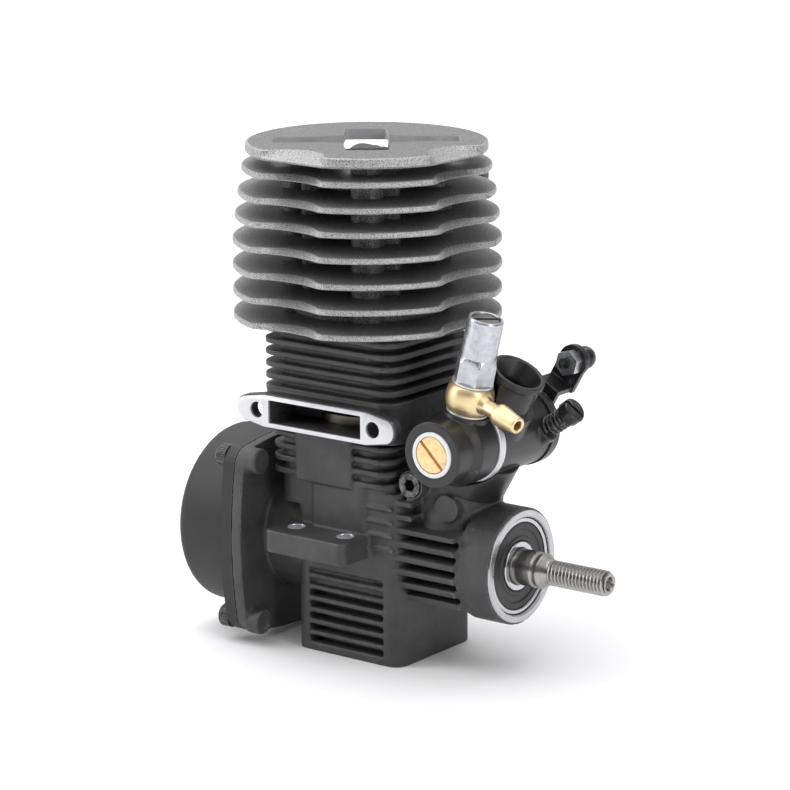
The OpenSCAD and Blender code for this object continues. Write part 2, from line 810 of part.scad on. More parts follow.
module throttle_barrel() {
    color([0.68, 0.68, 0.7]) difference() {
        union() {
            ybar(5.2, -3, 11.8, carb_x, carb_z);
            ybar(2.5, 11.7, 17.4, carb_x, carb_z);
        }
        on_carb(intake_tilt) zbar(3.6, -8, 8);
    }
}

module throttle_lever() {
    t = 1.3;
    color([0.1, 0.1, 0.1]) on_carb(lever_tilt) difference() {
        union() {
            ybar(4.6, 14.6, 14.6 + t);
            box([-2.6, 14.6, 0], [2.6, 14.6 + t, 9.6]);
            box([-2.6, 14.6, 8.4], [2.6, 20.6, 9.6]);
            box([-3, 20.6 - t, 8.4], [3, 20.6, 14.3]);
            ybar(3.2, 20.6 - t, 20.6, 0, 14.3);
        }
        ybar(2.5, 10, 18);
        ybar(0.45, 18, 22, 0, 16.4);
        ybar(1.2, 18, 22, 0, 14.1);
    }
}

module ball_stud() {
    color([0.12, 0.12, 0.12]) on_carb(lever_tilt) {
        ybar(1.2, 16.4, 22.5, 0, 14.1);
        ybar(1.8, 20.6, 21.2, 0, 14.1);
        translate([0, 23.6, 14.1]) sphere(r = 2.3);
    }
}

module ball_nut() {
    color([0.82, 0.83, 0.85]) on_carb(lever_tilt) difference() {
        translate([0, 19.3, 14.1]) rotate([90, 15, 0]) cylinder(r = 2.6, h = 2.1, $fn = 6);
        ybar(1.2, 15, 22, 0, 14.1);
    }
}

module at_idle_screw() {
    translate(idle_pos) rotate([0, idle_tilt, 0]) children();
}

module idle_stop_screw() {
    color([0.1, 0.1, 0.1]) at_idle_screw() difference() {
        union() {
            zbar(2.5, -1.1, 1.1);
            zbar(1, -8.6, 0);
        }
        translate([0, 0, 1.1]) rotate([0, 0, 90]) cube([7, 0.7, 1.3], center = true);
    }
}

module idle_spring() {
    wire_r = 0.28;
    color([0.12, 0.12, 0.12]) at_idle_screw() {
        for (i = [0 : 4]) translate([0, 0, -1.5 - 1.15 * i]) rotate_extrude()
            translate([1.85, 0]) circle(r = wire_r, $fn = 16);
        translate([1.85, 0, -6.1]) cylinder(r = 0.2, h = 4.6, $fn = 16);
    }
}

module banjo_shape() {
    nipple_turn = -13;
    difference() {
        union() {
            intersection() {
                translate([0, 0, 10.2]) sphere(r = 4.7);
                zbar(6, 7.5, 13);
            }
            translate([0, 0, 10.2]) rotate([0, 90, nipple_turn]) {
                zbar(1.45, 0, 9);
                zbar(2.15, 8.4, 9.1);
                translate([0, 0, 9.1 - E]) cylinder(r1 = 2.15, r2 = 1.6, h = 4.9);
            }
        }
        zbar(2.05, 5, 15);
        translate([0, 0, 10.2]) rotate([0, 90, nipple_turn]) zbar(0.9, 3, 15);
    }
}

module fuel_banjo() {
    color([0.85, 0.66, 0.35]) on_carb(needle_tilt, needle_y) banjo_shape();
}

module banjo_washers() {
    color([0.85, 0.8, 0.7]) on_carb(needle_tilt, needle_y) for (z = [7.1, 13]) difference() {
        zbar(4, z, z + 0.4);
        zbar(2.05, z - 1, z + 1);
    }
}

module needle_body() {
    color([0.68, 0.7, 0.72]) on_carb(needle_tilt, needle_y) difference() {
        union() {
            zbar(2, 4, 13.5);
            translate([0, 0, 13.4]) cylinder(r = 4.05, h = 4, $fn = 6);
            zbar(3.5, 17.3, 26.3);
        }
        zbar(0.95, 3, 20);
        zbar(2.75, 19, 27);
    }
}

module main_needle() {
    color([0.6, 0.6, 0.6]) on_carb(needle_tilt, needle_y) difference() {
        union() {
            zbar(2.7, 23.4, 26.1);
            zbar(2.2, 20, 23.5);
            zbar(0.9, 5, 20.1);
        }
        translate([0, 0, 26.1]) rotate([0, 0, 62]) cube([7, 0.65, 1.4], center = true);
    }
}

crankcase();
cylinder_liner();
head_gasket();
head_button();
cooling_head();
head_screws();
glow_plug();
glow_plug_washer();
front_bearing_outer_race();
front_bearing_inner_race();
front_bearing_balls();
front_bearing_seal();
rear_bearing_outer_race();
rear_bearing_inner_race();
rear_bearing_balls();
crankshaft();
crankpin();
connecting_rod();
big_end_bush();
small_end_bush();
wrist_pin();
wrist_pin_clips();
piston();
backplate();
backplate_gasket();
starter_shaft();
one_way_bearing();
starter_pulley();
recoil_spring();
starter_housing();
starter_screws();
rope_eyelet();
starter_rope();
starter_handle();
carburettor_body();
carburettor_end_cap();
carburettor_ring();
carburettor_seal();
carburettor_screw();
dust_ring();
low_speed_collar();
low_speed_needle();
throttle_barrel();
throttle_lever();
ball_stud();
ball_nut();
idle_stop_screw();
idle_spring();
fuel_banjo();
banjo_washers();
needle_body();
main_needle();
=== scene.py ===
import bmesh
import bpy
import json
import math
from mathutils import Matrix, Vector


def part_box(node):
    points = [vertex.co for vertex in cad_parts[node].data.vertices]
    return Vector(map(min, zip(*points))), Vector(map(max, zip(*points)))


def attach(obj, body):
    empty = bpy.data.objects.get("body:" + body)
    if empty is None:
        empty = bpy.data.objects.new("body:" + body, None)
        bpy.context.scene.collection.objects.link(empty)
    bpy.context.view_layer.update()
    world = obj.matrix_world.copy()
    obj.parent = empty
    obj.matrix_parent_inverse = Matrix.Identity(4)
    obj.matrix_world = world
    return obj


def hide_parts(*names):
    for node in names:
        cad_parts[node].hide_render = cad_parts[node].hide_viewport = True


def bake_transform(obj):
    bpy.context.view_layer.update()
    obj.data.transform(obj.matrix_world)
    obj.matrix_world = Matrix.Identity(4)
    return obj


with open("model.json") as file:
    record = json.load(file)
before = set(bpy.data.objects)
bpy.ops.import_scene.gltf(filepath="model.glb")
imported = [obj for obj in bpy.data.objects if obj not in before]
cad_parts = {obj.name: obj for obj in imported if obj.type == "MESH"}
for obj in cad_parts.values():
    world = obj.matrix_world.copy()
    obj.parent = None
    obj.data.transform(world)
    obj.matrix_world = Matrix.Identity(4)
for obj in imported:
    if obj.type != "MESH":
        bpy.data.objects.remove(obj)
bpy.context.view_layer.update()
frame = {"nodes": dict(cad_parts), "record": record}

# Sizes below are millimetres in the CAD frame: +X along the crankshaft, -Y to the exhaust, +Z up.
# Meshes are built in millimetres and scaled once, when a piece is made.
MM = 0.001
MARKS = 5
TURN = 2 * math.pi


def node_box(node):
    """A CAD node's lowest and highest corner, in millimetres."""
    low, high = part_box(node)
    return low / MM, high / MM


# ---------------------------------------------------------------- places read from the CAD model

FOOT_Z = node_box("crankcase")[0].z
FLANGE_FRONT_Y = -17.3                      # exhaust flange's machined face
EXHAUST_Z = 27.05
NOSE_X = node_box("front_bearing_outer_race")[1].x + 0.54
SHAFT_TIP_X = node_box("crankshaft")[1].x
CARB = Vector((27.85, 0, 24.15))            # middle of the throttle barrel
NEEDLE_TILT = math.radians(13.5)
IDLE_TILT = math.radians(54)
IDLE_HEAD = Vector((41.2, 10, 29.1))
ROPE_MOUTH = Vector((-26.5, 16.637, 12.255))
HANDLE = Vector((-11.7, 31.4, 68))
SCREW_YZ = 16.4
HEAD_TURN = math.radians(308)
SCALLOP_TURNS = math.radians(268), math.radians(358)     # toward the exhaust and the carburettor


# ---------------------------------------------------------------- mesh helpers

class Shape:
    """Vertices and faces in millimetres, with a material index for each face."""

    def __init__(self, verts=(), faces=(), marks=None):
        self.verts = [Vector(v) for v in verts]
        self.faces = [tuple(f) for f in faces]
        self.marks = list(marks) if marks else [0] * len(self.faces)

    def add(self, other):
        start = len(self.verts)
        self.verts += other.verts
        self.faces += [tuple(i + start for i in f) for f in other.faces]
        self.marks += other.marks
        return self

    def moved(self, matrix):
        return Shape([matrix @ v for v in self.verts], self.faces, self.marks)

    def marked(self, mark):
        return Shape(self.verts, self.faces, [mark] * len(self.faces))


def place(origin, axis, toward=(0, 0, 1)):
    """A frame at origin whose Z runs along axis and whose X leans toward the third vector."""
    z = Vector(axis).normalized()
    x = Vector(toward) - Vector(toward).dot(z) * z
    if x.length < 1e-6:
        x = z.orthogonal()
    x.normalize()
    y = z.cross(x)
    return Matrix((
        (x.x, y.x, z.x, origin[0]),
        (x.y, y.y, z.y, origin[1]),
        (x.z, y.z, z.z, origin[2]),
        (0, 0, 0, 1)))


def fillet(points, radius, closed=False, steps=4):
    """The polyline with its corners rounded, by arcs no wider than half of each side."""
    pts = [Vector(p) for p in points]
    out = []
    n = len(pts)
    for i, p in enumerate(pts):
        if not closed and i in (0, n - 1):
            out.append(p)
            continue
        a, b = pts[i - 1] - p, pts[(i + 1) % n] - p
        reach = min(radius, a.length * 0.45, b.length * 0.45)
        start, end = p + a.normalized() * reach, p + b.normalized() * reach
        for k in range(steps + 1):
            t = k / steps
            out.append(start * (1 - t) ** 2 + p * 2 * t * (1 - t) + end * t * t)
    return out


def lathe(profile, steps=72, closed=False, marks=None):
    """Turns (radius, height) points about Z. A point at radius 0 ends the shape on the axis."""
    rings, verts, faces, face_marks = [], [], [], []
    for r, h in profile:
        if r < 1e-6:
            rings.append([len(verts)] * steps)
            verts.append((0, 0, h))
        else:
            rings.append(list(range(len(verts), len(verts) + steps)))
            verts += [(r * math.cos(TURN * i / steps), r * math.sin(TURN * i / steps), h)
                      for i in range(steps)]
    pairs = list(zip(range(len(rings)), range(1, len(rings))))
    if closed:
        pairs.append((len(rings) - 1, 0))
    for number, (a, b) in enumerate(pairs):
        for i in range(steps):
            j = (i + 1) % steps
            ring = [rings[a][i], rings[a][j], rings[b][j], rings[b][i]]
            face = [v for k, v in enumerate(ring) if v != ring[k - 1]]
            if len(face) > 2:
                faces.append(face)
                face_marks.append(marks[number] if marks else 0)
    return Shape(verts, faces, face_marks)


def rings_to_shape(rings, caps=True, closed=False):
    """Skins rings of equal length, with a cap at each end."""
    count = len(rings[0])
    verts = [v for ring in rings for v in ring]
    faces = []
    spans = range(len(rings)) if closed else range(len(rings) - 1)
    for k in spans:
        a, b = k * count, ((k + 1) % len(rings)) * count
        for i in range(count):
            j = (i + 1) % count
            faces.append((a + i, a + j, b + j, b + i))
    if caps and not closed:
        faces.append(tuple(range(count))[::-1])
        faces.append(tuple(range((len(rings) - 1) * count, len(rings) * count)))
    return Shape(verts, faces)


def inset(outline, by):
    """The closed 2D outline moved inward."""
    out = []
    n = len(outline)
    for i, p in enumerate(outline):
        before, after = Vector(outline[i - 1]), Vector(outline[(i + 1) % n])
        along = (after - before).normalized()
        out.append(Vector(p) + Vector((-along.y, along.x)) * by)
    return out


def prism(outline, z0, z1, edge=0.15):
    """An extruded counter-clockwise outline with its two rims rounded."""
    levels = [(z0, edge), (z0 + edge * 0.3, edge * 0.3), (z0 + edge, 0),
              (z1 - edge, 0), (z1 - edge * 0.3, edge * 0.3), (z1, edge)]
    return rings_to_shape([[(p.x, p.y, z) for p in inset(outline, by)] for z, by in levels])


def rounded_rect(x0, y0, x1, y1, r, steps=6):
    corners = ((x1 - r, y1 - r, 0), (x0 + r, y1 - r, 90), (x0 + r, y0 + r, 180), (x1 - r, y0 + r, 270))
    return [Vector((cx + r * math.cos(math.radians(a + 90 * k / steps)),
                    cy + r * math.sin(math.radians(a + 90 * k / steps))))
            for cx, cy, a in corners for k in range(steps + 1)]


def tube(path, radius, sides=10, closed=False):
    """A round tube along a list of points. radius is one number or one for each point."""
    points = [Vector(p) for p in path]
    radii = radius if isinstance(radius, (list, tuple)) else [radius] * len(points)
    rings = []
    normal = None
    for i, p in enumerate(points):
        ahead = points[(i + 1) % len(points)] if closed else points[min(i + 1, len(points) - 1)]
        behind = points[i - 1] if closed or i else points[0]
        along = (ahead - behind).normalized()
        if normal is None:
            normal = along.orthogonal().normalized()
        normal = (normal - normal.dot(along) * along).normalized()
        side = along.cross(normal)
        rings.append([p + (normal * math.cos(TURN * k / sides) + side * math.sin(TURN * k / sides)) * radii[i]
                      for k in range(sides)])
    return rings_to_shape(rings, closed=closed)


def polygon(radius, sides, turn=0.0):
    return [Vector((radius * math.cos(turn + TURN * i / sides), radius * math.sin(turn + TURN * i / sides)))
            for i in range(sides)]


def box_shape(low, high):
    x0, y0, z0 = low
    x1, y1, z1 = high
    return rings_to_shape([[(x0, y0, z), (x1, y0, z), (x1, y1, z), (x0, y1, z)] for z in (z0, z1)])


def scratch(shape, name="scratch"):
    """A plain object in millimetres, for modifiers."""
    mesh = bpy.data.meshes.new(name)
    mesh.from_pydata(shape.verts, [], shape.faces)
    for _ in range(MARKS):
        mesh.materials.append(None)      # a Boolean keeps the marks only where the slots exist
    mesh.polygons.foreach_set("material_index", shape.marks)
    fixed = bmesh.new()
    fixed.from_mesh(mesh)
    bmesh.ops.recalc_face_normals(fixed, faces=fixed.faces)
    fixed.to_mesh(mesh)
    fixed.free()
    obj = bpy.data.objects.new(name, mesh)
    bpy.context.scene.collection.objects.link(obj)
    return obj


def bake_modifiers(obj):
    graph = bpy.context.evaluated_depsgraph_get()
    mesh = bpy.data.meshes.new_from_object(obj.evaluated_get(graph))
    obj.modifiers.clear()
    old = obj.data
    obj.data = mesh
    bpy.data.meshes.remove(old)


def carve(obj, shape, operation="DIFFERENCE"):
    """Cuts a shape out of the object, or keeps only what is inside it."""
    cutter = scratch(shape, "cutter")
    step = obj.modifiers.new("carve", "BOOLEAN")
    step.operation = operation
    step.solver = "EXACT"
    step.object = cutter
    bake_modifiers(obj)
    mesh = cutter.data
    bpy.data.objects.remove(cutter)
    bpy.data.meshes.remove(mesh)


def mould(obj, voxel, smooth=3, keep=1.0):
    """Fuses the object into one skin with soft edges, as a casting or moulding has."""
    skin = obj.modifiers.new("skin", "REMESH")
    skin.mode = "VOXEL"
    skin.voxel_size = voxel
    soften = obj.modifiers.new("soften", "SMOOTH")
    soften.factor = 0.5
    soften.iterations = smooth
    if keep < 1:
        thin = obj.modifiers.new("thin", "DECIMATE")
        thin.ratio = keep
    bake_modifiers(obj)


def join(obj, *shapes):
    """Adds shapes or other scratch objects to an object's mesh, without fusing them."""
    merged = bmesh.new()
    merged.from_mesh(obj.data)
    for other in shapes:
        extra = scratch(other) if isinstance(other, Shape) else other
        merged.from_mesh(extra.data)
        mesh = extra.data
        bpy.data.objects.remove(extra)
        bpy.data.meshes.remove(mesh)
    merged.to_mesh(obj.data)
    merged.free()
    return obj


def finish_piece(obj, name, body, materials, replaces=(), crease=40):
    """Scales a millimetre object to metres and makes it a piece of the engine."""
    obj.name = name
    obj.data.name = name
    obj.data.transform(Matrix.Scale(MM, 4))
    marks = [0] * len(obj.data.polygons)
    obj.data.polygons.foreach_get("material_index", marks)
    obj.data.materials.clear()           # this also resets every face's mark, so they are put back
    for m in materials:
        obj.data.materials.append(m)
    obj.data.polygons.foreach_set("material_index", [min(mark, len(materials) - 1) for mark in marks])
    obj.data.polygons.foreach_set("use_smooth", [True] * len(obj.data.polygons))
    if crease:
        obj.data.set_sharp_from_angle(angle=math.radians(crease))
    obj.data.update()
    if replaces:
        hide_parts(*replaces)
    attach(obj, body)
    return obj


def make(name, shape, body, materials, replaces=(), crease=40):
    return finish_piece(scratch(shape, name), name, body, materials, replaces, crease)


def cad_copy(node, name):
    """A millimetre copy of a CAD node's mesh, to be reworked into a piece of its own."""
    mesh = frame["nodes"][node].data.copy()
    mesh.transform(Matrix.Scale(1 / MM, 4))
    obj = bpy.data.objects.new(name, mesh)
    bpy.context.scene.collection.objects.link(obj)
    joined = bmesh.new()
    joined.from_mesh(mesh)
    bmesh.ops.remove_doubles(joined, verts=joined.verts, dist=0.0005)
    joined.to_mesh(mesh)
    joined.free()
    return obj


# ---------------------------------------------------------------- materials

class Tree:
    """A small wrapper that adds shader nodes and links them."""

    def __init__(self, name):
        self.material = bpy.data.materials.new(name)
        self.material.use_nodes = True
        self.tree = self.material.node_tree
        self.shader = self.tree.nodes["Principled BSDF"]
        coords = self.tree.nodes.new("ShaderNodeTexCoord")
        self.place = coords.outputs["Object"]

    def node(self, kind, **values):
        made = self.tree.nodes.new("ShaderNode" + kind)
        for key, value in values.items():
            if key in made.inputs:
                self.set(made.inputs[key], value)
            else:
                setattr(made, key, value)
        return made

    def set(self, socket, value):
        if isinstance(value, bpy.types.NodeSocket):
            self.tree.links.new(value, socket)
        else:
            socket.default_value = value

    def grain(self, size_mm, detail=3.0, rough=0.55, stretch=None):
        """Noise with grains of that size."""
        where = self.place
        if stretch:
            mapping = self.node("Mapping", Vector=where, Scale=stretch)
            where = mapping.outputs["Vector"]
        made = self.node("TexNoise", Vector=where, Scale=1 / (size_mm * MM), Detail=detail, Roughness=rough)
        return made.outputs["Fac"]

    def span(self, value, low, high, start=0.0, end=1.0):
        made = self.node("MapRange", Value=value)
        made.inputs["From Min"].default_value = low
        made.inputs["From Max"].default_value = high
        made.inputs["To Min"].default_value = start
        made.inputs["To Max"].default_value = end
        return made.outputs["Result"]

    def mix_colour(self, amount, first, second):
        made = self.tree.nodes.new("ShaderNodeMix")
        made.data_type = "RGBA"
        self.set(made.inputs[0], amount)
        self.set(made.inputs[6], (*first, 1) if isinstance(first, tuple) else first)
        self.set(made.inputs[7], (*second, 1) if isinstance(second, tuple) else second)
        return made.outputs[2]

    def bump(self, height, strength, depth_mm, normal=None):
        made = self.tree.nodes.new("ShaderNodeBump")
        made.inputs["Strength"].default_value = strength
        made.inputs["Distance"].default_value = depth_mm * MM
        self.set(made.inputs["Height"], height)
        if normal is not None:
            self.set(made.inputs["Normal"], normal)
        return made.outputs["Normal"]

    def pointiness(self):
        return self.tree.nodes.new("ShaderNodeNewGeometry").outputs["Pointiness"]


def textured(name, colour, roughness, metallic=0.0, vary=0.15, grain_mm=0.4, bump=0.25, bump_mm=0.02,
             rough_vary=0.08, blotch_mm=6.0, stretch=None, worn=None, specular=0.5, anisotropic=0.0,
             second_grain_mm=None, second_bump=0.0):
    """Base surface of every material: blotches, grain, uneven gloss and worn edges."""
    t = Tree(name)
    dark = tuple(c * (1 - vary) for c in colour)
    light = tuple(min(1, c * (1 + vary)) for c in colour)
    blotch = t.grain(blotch_mm, 4.0, 0.6)
    grain = t.grain(grain_mm, 3.0, 0.6, stretch)
    base = t.mix_colour(t.span(blotch, 0.3, 0.7), dark, light)
    base = t.mix_colour(t.span(grain, 0.35, 0.7, 0.0, 0.6), base, tuple(c * (1 + vary) for c in colour))
    if worn:
        edge = t.span(t.pointiness(), 0.52, 0.6)
        rub = t.span(t.grain(1.2, 4.0, 0.7), 0.4, 0.65)
        both = t.node("Math", operation="MULTIPLY")
        t.set(both.inputs[0], edge)
        t.set(both.inputs[1], rub)
        base = t.mix_colour(both.outputs[0], base, worn)
    t.set(t.shader.inputs["Base Color"], base)
    t.set(t.shader.inputs["Roughness"],
          t.span(grain, 0.3, 0.7, max(0.02, roughness - rough_vary), min(1, roughness + rough_vary)))
    t.shader.inputs["Metallic"].default_value = metallic
    t.shader.inputs["Specular IOR Level"].default_value = specular
    if anisotropic:
        t.shader.inputs["Anisotropic"].default_value = anisotropic
    normal = t.bump(grain, bump, bump_mm)
    if second_grain_mm:
        normal = t.bump(t.grain(second_grain_mm, 2.0, 0.5), second_bump, second_grain_mm * 0.2, normal)
    t.set(t.shader.inputs["Normal"], normal)
    return t.material


def turned(name, colour, roughness, axis, centre=(0, 0, 0), pitch_mm=0.09, depth_mm=0.004):
    """Bright metal with fine lathe marks round an axis through centre."""
    t = Tree(name)
    offset = t.node("VectorMath", operation="SUBTRACT")
    t.set(offset.inputs[0], t.place)
    offset.inputs[1].default_value = tuple(c * MM for c in centre)
    along = t.node("VectorMath", operation="DOT_PRODUCT")
    t.set(along.inputs[0], offset.outputs[0])
    along.inputs[1].default_value = axis
    distance = t.node("VectorMath", operation="LENGTH")
    t.set(distance.inputs[0], offset.outputs[0])
    total = t.node("Math", operation="ADD")
    t.set(total.inputs[0], along.outputs["Value"])
    t.set(total.inputs[1], distance.outputs["Value"])
    rings = t.node("TexNoise", noise_dimensions="1D", Scale=1 / (pitch_mm * MM), Detail=2.0)
    t.set(rings.inputs["W"], total.outputs[0])
    marks = rings.outputs["Fac"]
    blotch = t.grain(3.0, 4.0, 0.6)
    dark = tuple(c * 0.86 for c in colour)
    base = t.mix_colour(t.span(blotch, 0.3, 0.7), dark, colour)
    base = t.mix_colour(t.span(marks, 0.4, 0.8, 0.0, 0.35), base, tuple(min(1, c * 1.15) for c in colour))
    t.set(t.shader.inputs["Base Color"], base)
    t.set(t.shader.inputs["Roughness"], t.span(marks, 0.3, 0.7, roughness - 0.05, roughness + 0.07))
    t.shader.inputs["Metallic"].default_value = 1.0
    t.set(t.shader.inputs["Normal"], t.bump(marks, 0.35, depth_mm))
    return t.material


def cast_head(name, shaded_middle, rim_tone, roughness, bump_mm, sparkle):
    """Blasted cast alloy with painted shade: darker toward the middle of the head, where the fins shade each
    other, and near-white grains as painted sparkle.
    """
    t = Tree(name)
    flat = t.node("VectorMath", operation="MULTIPLY")
    t.set(flat.inputs[0], t.place)
    flat.inputs[1].default_value = (1, 1, 0)
    radius = t.node("VectorMath", operation="LENGTH")
    t.set(radius.inputs[0], flat.outputs[0])
    shade_fade_outward = t.span(radius.outputs["Value"], 0.010, 0.0225)
    grain = t.grain(0.22, 2.0, 0.6)
    coarse = t.grain(0.55, 2.0, 0.5)
    # painted shade: dark in the middle of the head, lightening out to the rim's tone
    base = t.mix_colour(shade_fade_outward, tuple([shaded_middle] * 3), (rim_tone, rim_tone, rim_tone * 1.01))
    # painted sparkle: near-white grains stand in for glints
    base = t.mix_colour(t.span(grain, 0.36, 0.62, 0.0, sparkle), base, (0.95, 0.95, 0.96))
    base = t.mix_colour(t.span(grain, 0.42, 0.28, 0.0, 0.4), base, (shaded_middle, shaded_middle, shaded_middle))
    t.set(t.shader.inputs["Base Color"], base)
    t.shader.inputs["Metallic"].default_value = 0.62
    t.set(t.shader.inputs["Roughness"], t.span(grain, 0.3, 0.7, roughness + 0.12, roughness - 0.12))
    t.set(t.shader.inputs["Normal"], t.bump(coarse, 0.5, bump_mm, t.bump(grain, 0.9, bump_mm)))
    return t.material


M = {
    "cast_black": textured("cast_black", (0.039, 0.039, 0.040), 0.50, vary=0.42, grain_mm=0.24, bump=1.0,
                           bump_mm=0.07, rough_vary=0.12, worn=(0.2, 0.2, 0.205), specular=0.5,
                           second_grain_mm=1.0, second_bump=0.4),
    # The head's alloy comes in copies with painted light. The plates' faces darken toward the middle (painted
    # shade), the rims carry more painted sparkle (painted highlight), the deep faces are darker all over (painted
    # shade), and the crown's top is even.
    "head_face_shaded": cast_head("head_face_shaded", 0.012, 0.20, 0.52, 0.06, 0.22),
    "head_rim_glint": cast_head("head_rim_glint", 0.05, 0.20, 0.44, 0.12, 0.42),
    "head_deep_shade": cast_head("head_deep_shade", 0.02, 0.10, 0.58, 0.06, 0.2),
    "crown_face": cast_head("crown_face", 0.125, 0.13, 0.60, 0.045, 0.18),
    "slot_wall": textured("slot_wall", (0.52, 0.52, 0.53), 0.5, metallic=0.1, vary=0.25, grain_mm=0.22,
                          bump=0.6, bump_mm=0.05),
    "machined_alloy": textured("machined_alloy", (0.62, 0.62, 0.64), 0.36, metallic=0.6, vary=0.09,
                               grain_mm=0.16, bump=0.25, bump_mm=0.01, blotch_mm=4.0),
    "nose_face": turned("nose_face", (0.52, 0.52, 0.53), 0.28, (1, 0, 0)),
    "bearing_steel": turned("bearing_steel", (0.55, 0.55, 0.56), 0.12, (1, 0, 0), pitch_mm=0.05,
                            depth_mm=0.002),
    "shaft_steel": turned("shaft_steel", (0.40, 0.385, 0.37), 0.27, (1, 0, 0), pitch_mm=0.07),
    "hard_steel": textured("hard_steel", (0.52, 0.52, 0.54), 0.25, metallic=1.0, vary=0.08, grain_mm=0.3,
                           bump=0.15, bump_mm=0.006),
    "liner": textured("liner", (0.30, 0.27, 0.22), 0.4, metallic=1.0, vary=0.15, grain_mm=0.3),
    "black_steel": textured("black_steel", (0.020, 0.020, 0.021), 0.30, metallic=0.3, vary=0.3, grain_mm=0.3,
                            bump=0.2, bump_mm=0.012, worn=(0.2, 0.2, 0.2), specular=0.55),
    "seal_rubber": textured("seal_rubber", (0.017, 0.017, 0.018), 0.42, vary=0.2, grain_mm=0.2, bump=0.2,
                            bump_mm=0.01),
    "carb_plastic": textured("carb_plastic", (0.017, 0.017, 0.018), 0.36, vary=0.18, grain_mm=0.25, bump=0.25,
                             bump_mm=0.014, rough_vary=0.07, worn=(0.06, 0.06, 0.06), specular=0.5),
    "brass": textured("brass", (0.80, 0.63, 0.37), 0.41, metallic=0.95, vary=0.10, grain_mm=0.25, bump=0.25,
                      bump_mm=0.01, rough_vary=0.08, blotch_mm=3.0),
    "brass_face": textured("brass_face", (0.80, 0.57, 0.30), 0.38, metallic=0.85, vary=0.24, grain_mm=0.22,
                           bump=0.5, bump_mm=0.018, blotch_mm=1.3, rough_vary=0.14, stretch=(1, 1, 3)),
    "zinc": textured("zinc", (0.46, 0.47, 0.50), 0.35, metallic=0.92, vary=0.24, grain_mm=0.3, bump=0.35,
                     bump_mm=0.016, rough_vary=0.14, blotch_mm=1.6),
    "screw_steel": textured("screw_steel", (0.20, 0.195, 0.185), 0.42, metallic=0.85, vary=0.12, grain_mm=0.2,
                            bump=0.3, bump_mm=0.01, stretch=(4, 1, 1)),
    "white_plastic": textured("white_plastic", (0.74, 0.74, 0.73), 0.42, vary=0.04, grain_mm=0.3, bump=0.1,
                              bump_mm=0.006),
    "copper": textured("copper", (0.72, 0.38, 0.22), 0.36, metallic=1.0, vary=0.15, grain_mm=0.4),
    "bronze": textured("bronze", (0.55, 0.36, 0.18), 0.42, metallic=1.0, vary=0.15, grain_mm=0.2),
    "plated_brass": textured("plated_brass", (0.66, 0.63, 0.57), 0.22, metallic=1.0, vary=0.08,
                             grain_mm=0.3, bump=0.12, bump_mm=0.005),
    "starter_plastic": textured("starter_plastic", (0.019, 0.019, 0.020), 0.52, vary=0.14, grain_mm=0.3,
                                bump=0.35, bump_mm=0.018, rough_vary=0.07, specular=0.4),
    "pulley_plastic": textured("pulley_plastic", (0.72, 0.72, 0.69), 0.5, vary=0.06, grain_mm=0.4),
    "rope_cord": textured("rope_cord", (0.030, 0.030, 0.033), 0.8, vary=0.4, grain_mm=0.12, bump=0.6,
                          bump_mm=0.04),
    "handle_plastic": textured("handle_plastic", (0.020, 0.020, 0.022), 0.46, vary=0.15, grain_mm=0.35,
                               bump=0.35, bump_mm=0.02),
}


# ---------------------------------------------------------------- cylinder head

def scallop(rim, depth, half_angle, turn):
    """Radius of a rim with a round notch, at an angle from the notch's middle."""
    if abs(turn) >= half_angle:
        return rim
    inner = rim - depth
    centre = (rim * rim - inner * inner) / (2 * (rim * math.cos(half_angle) - inner))
    notch = centre - inner
    reach = notch * notch - (centre * math.sin(turn)) ** 2
    return min(rim, centre * math.cos(turn) - math.sqrt(max(0, reach)))


def soft_scallop(rim, depth, half_angle, turn):
    """The same with its two corners eased."""
    spread = (-0.036, -0.018, 0, 0.018, 0.036)
    return sum(scallop(rim, depth, half_angle, turn + step) for step in spread) / len(spread)


# Face marks. The deep faces (the plates' inner walls, the core, the columns and the base) take the darker alloy:
# painted shade between the fins.
FACE, RIM, DEEP_SHADE, CROWN, SLOT = range(MARKS)


def cooling_plate(z, rim, thick, depth_top, depth_low, top_mark=FACE, steps=360):
    """One plate, thinner toward its rim, with two scallops whose walls slope inward as they rise."""
    half_angle = math.radians(18.4)
    swell = 0.15 if top_mark == CROWN else thick * 0.3
    edge = thick * 0.2
    rings = []
    for i in range(steps):
        a = TURN * i / steps
        off = min(abs((a - turn + math.pi) % TURN - math.pi) for turn in SCALLOP_TURNS)
        top = soft_scallop(rim, depth_top, half_angle, off)
        low = soft_scallop(rim, depth_low, half_angle, off)
        half = thick / 2
        profile = [
            (5.9, z + half + swell), (top * 0.5, z + half + swell * 0.6), (top - 2.2, z + half + swell * 0.1),
            (top - edge * 1.6, z + half), (top - edge * 0.4, z + half - edge * 0.4),
            ((top + low) / 2, z), (low - edge * 0.1, z - half + edge), (low - edge, z - half),
            (low - 2.2, z - half - swell * 0.1), (low * 0.5, z - half - swell * 0.6), (5.9, z - half - swell)]
        rings.append([Vector((r * math.cos(a), r * math.sin(a), h)) for r, h in profile])
    shape = rings_to_shape(rings, closed=True)
    row_marks = [top_mark] * 3 + [RIM] * 4 + [FACE] * 3 + [DEEP_SHADE]
    shape.marks = row_marks * steps
    return shape


def head_column(z0, z1):
    """A round screw column with its flat web and lug, in the head's own frame."""
    wall = fillet([(0, z0), (3.2, z0), (3.2, z1), (0, z1)], 0.3)
    column = lathe([(p[0], p[1]) for p in wall], 28).moved(Matrix.Translation((13.2, 0, 0)))
    web = box_shape((5.5, -1.5, z0), (12.5, 1.5, z1))
    lug = prism(rounded_rect(8.6, 2.0, 12.6, 6.2, 1.2), z0, z1, 0.1)
    return column.add(web).add(lug)


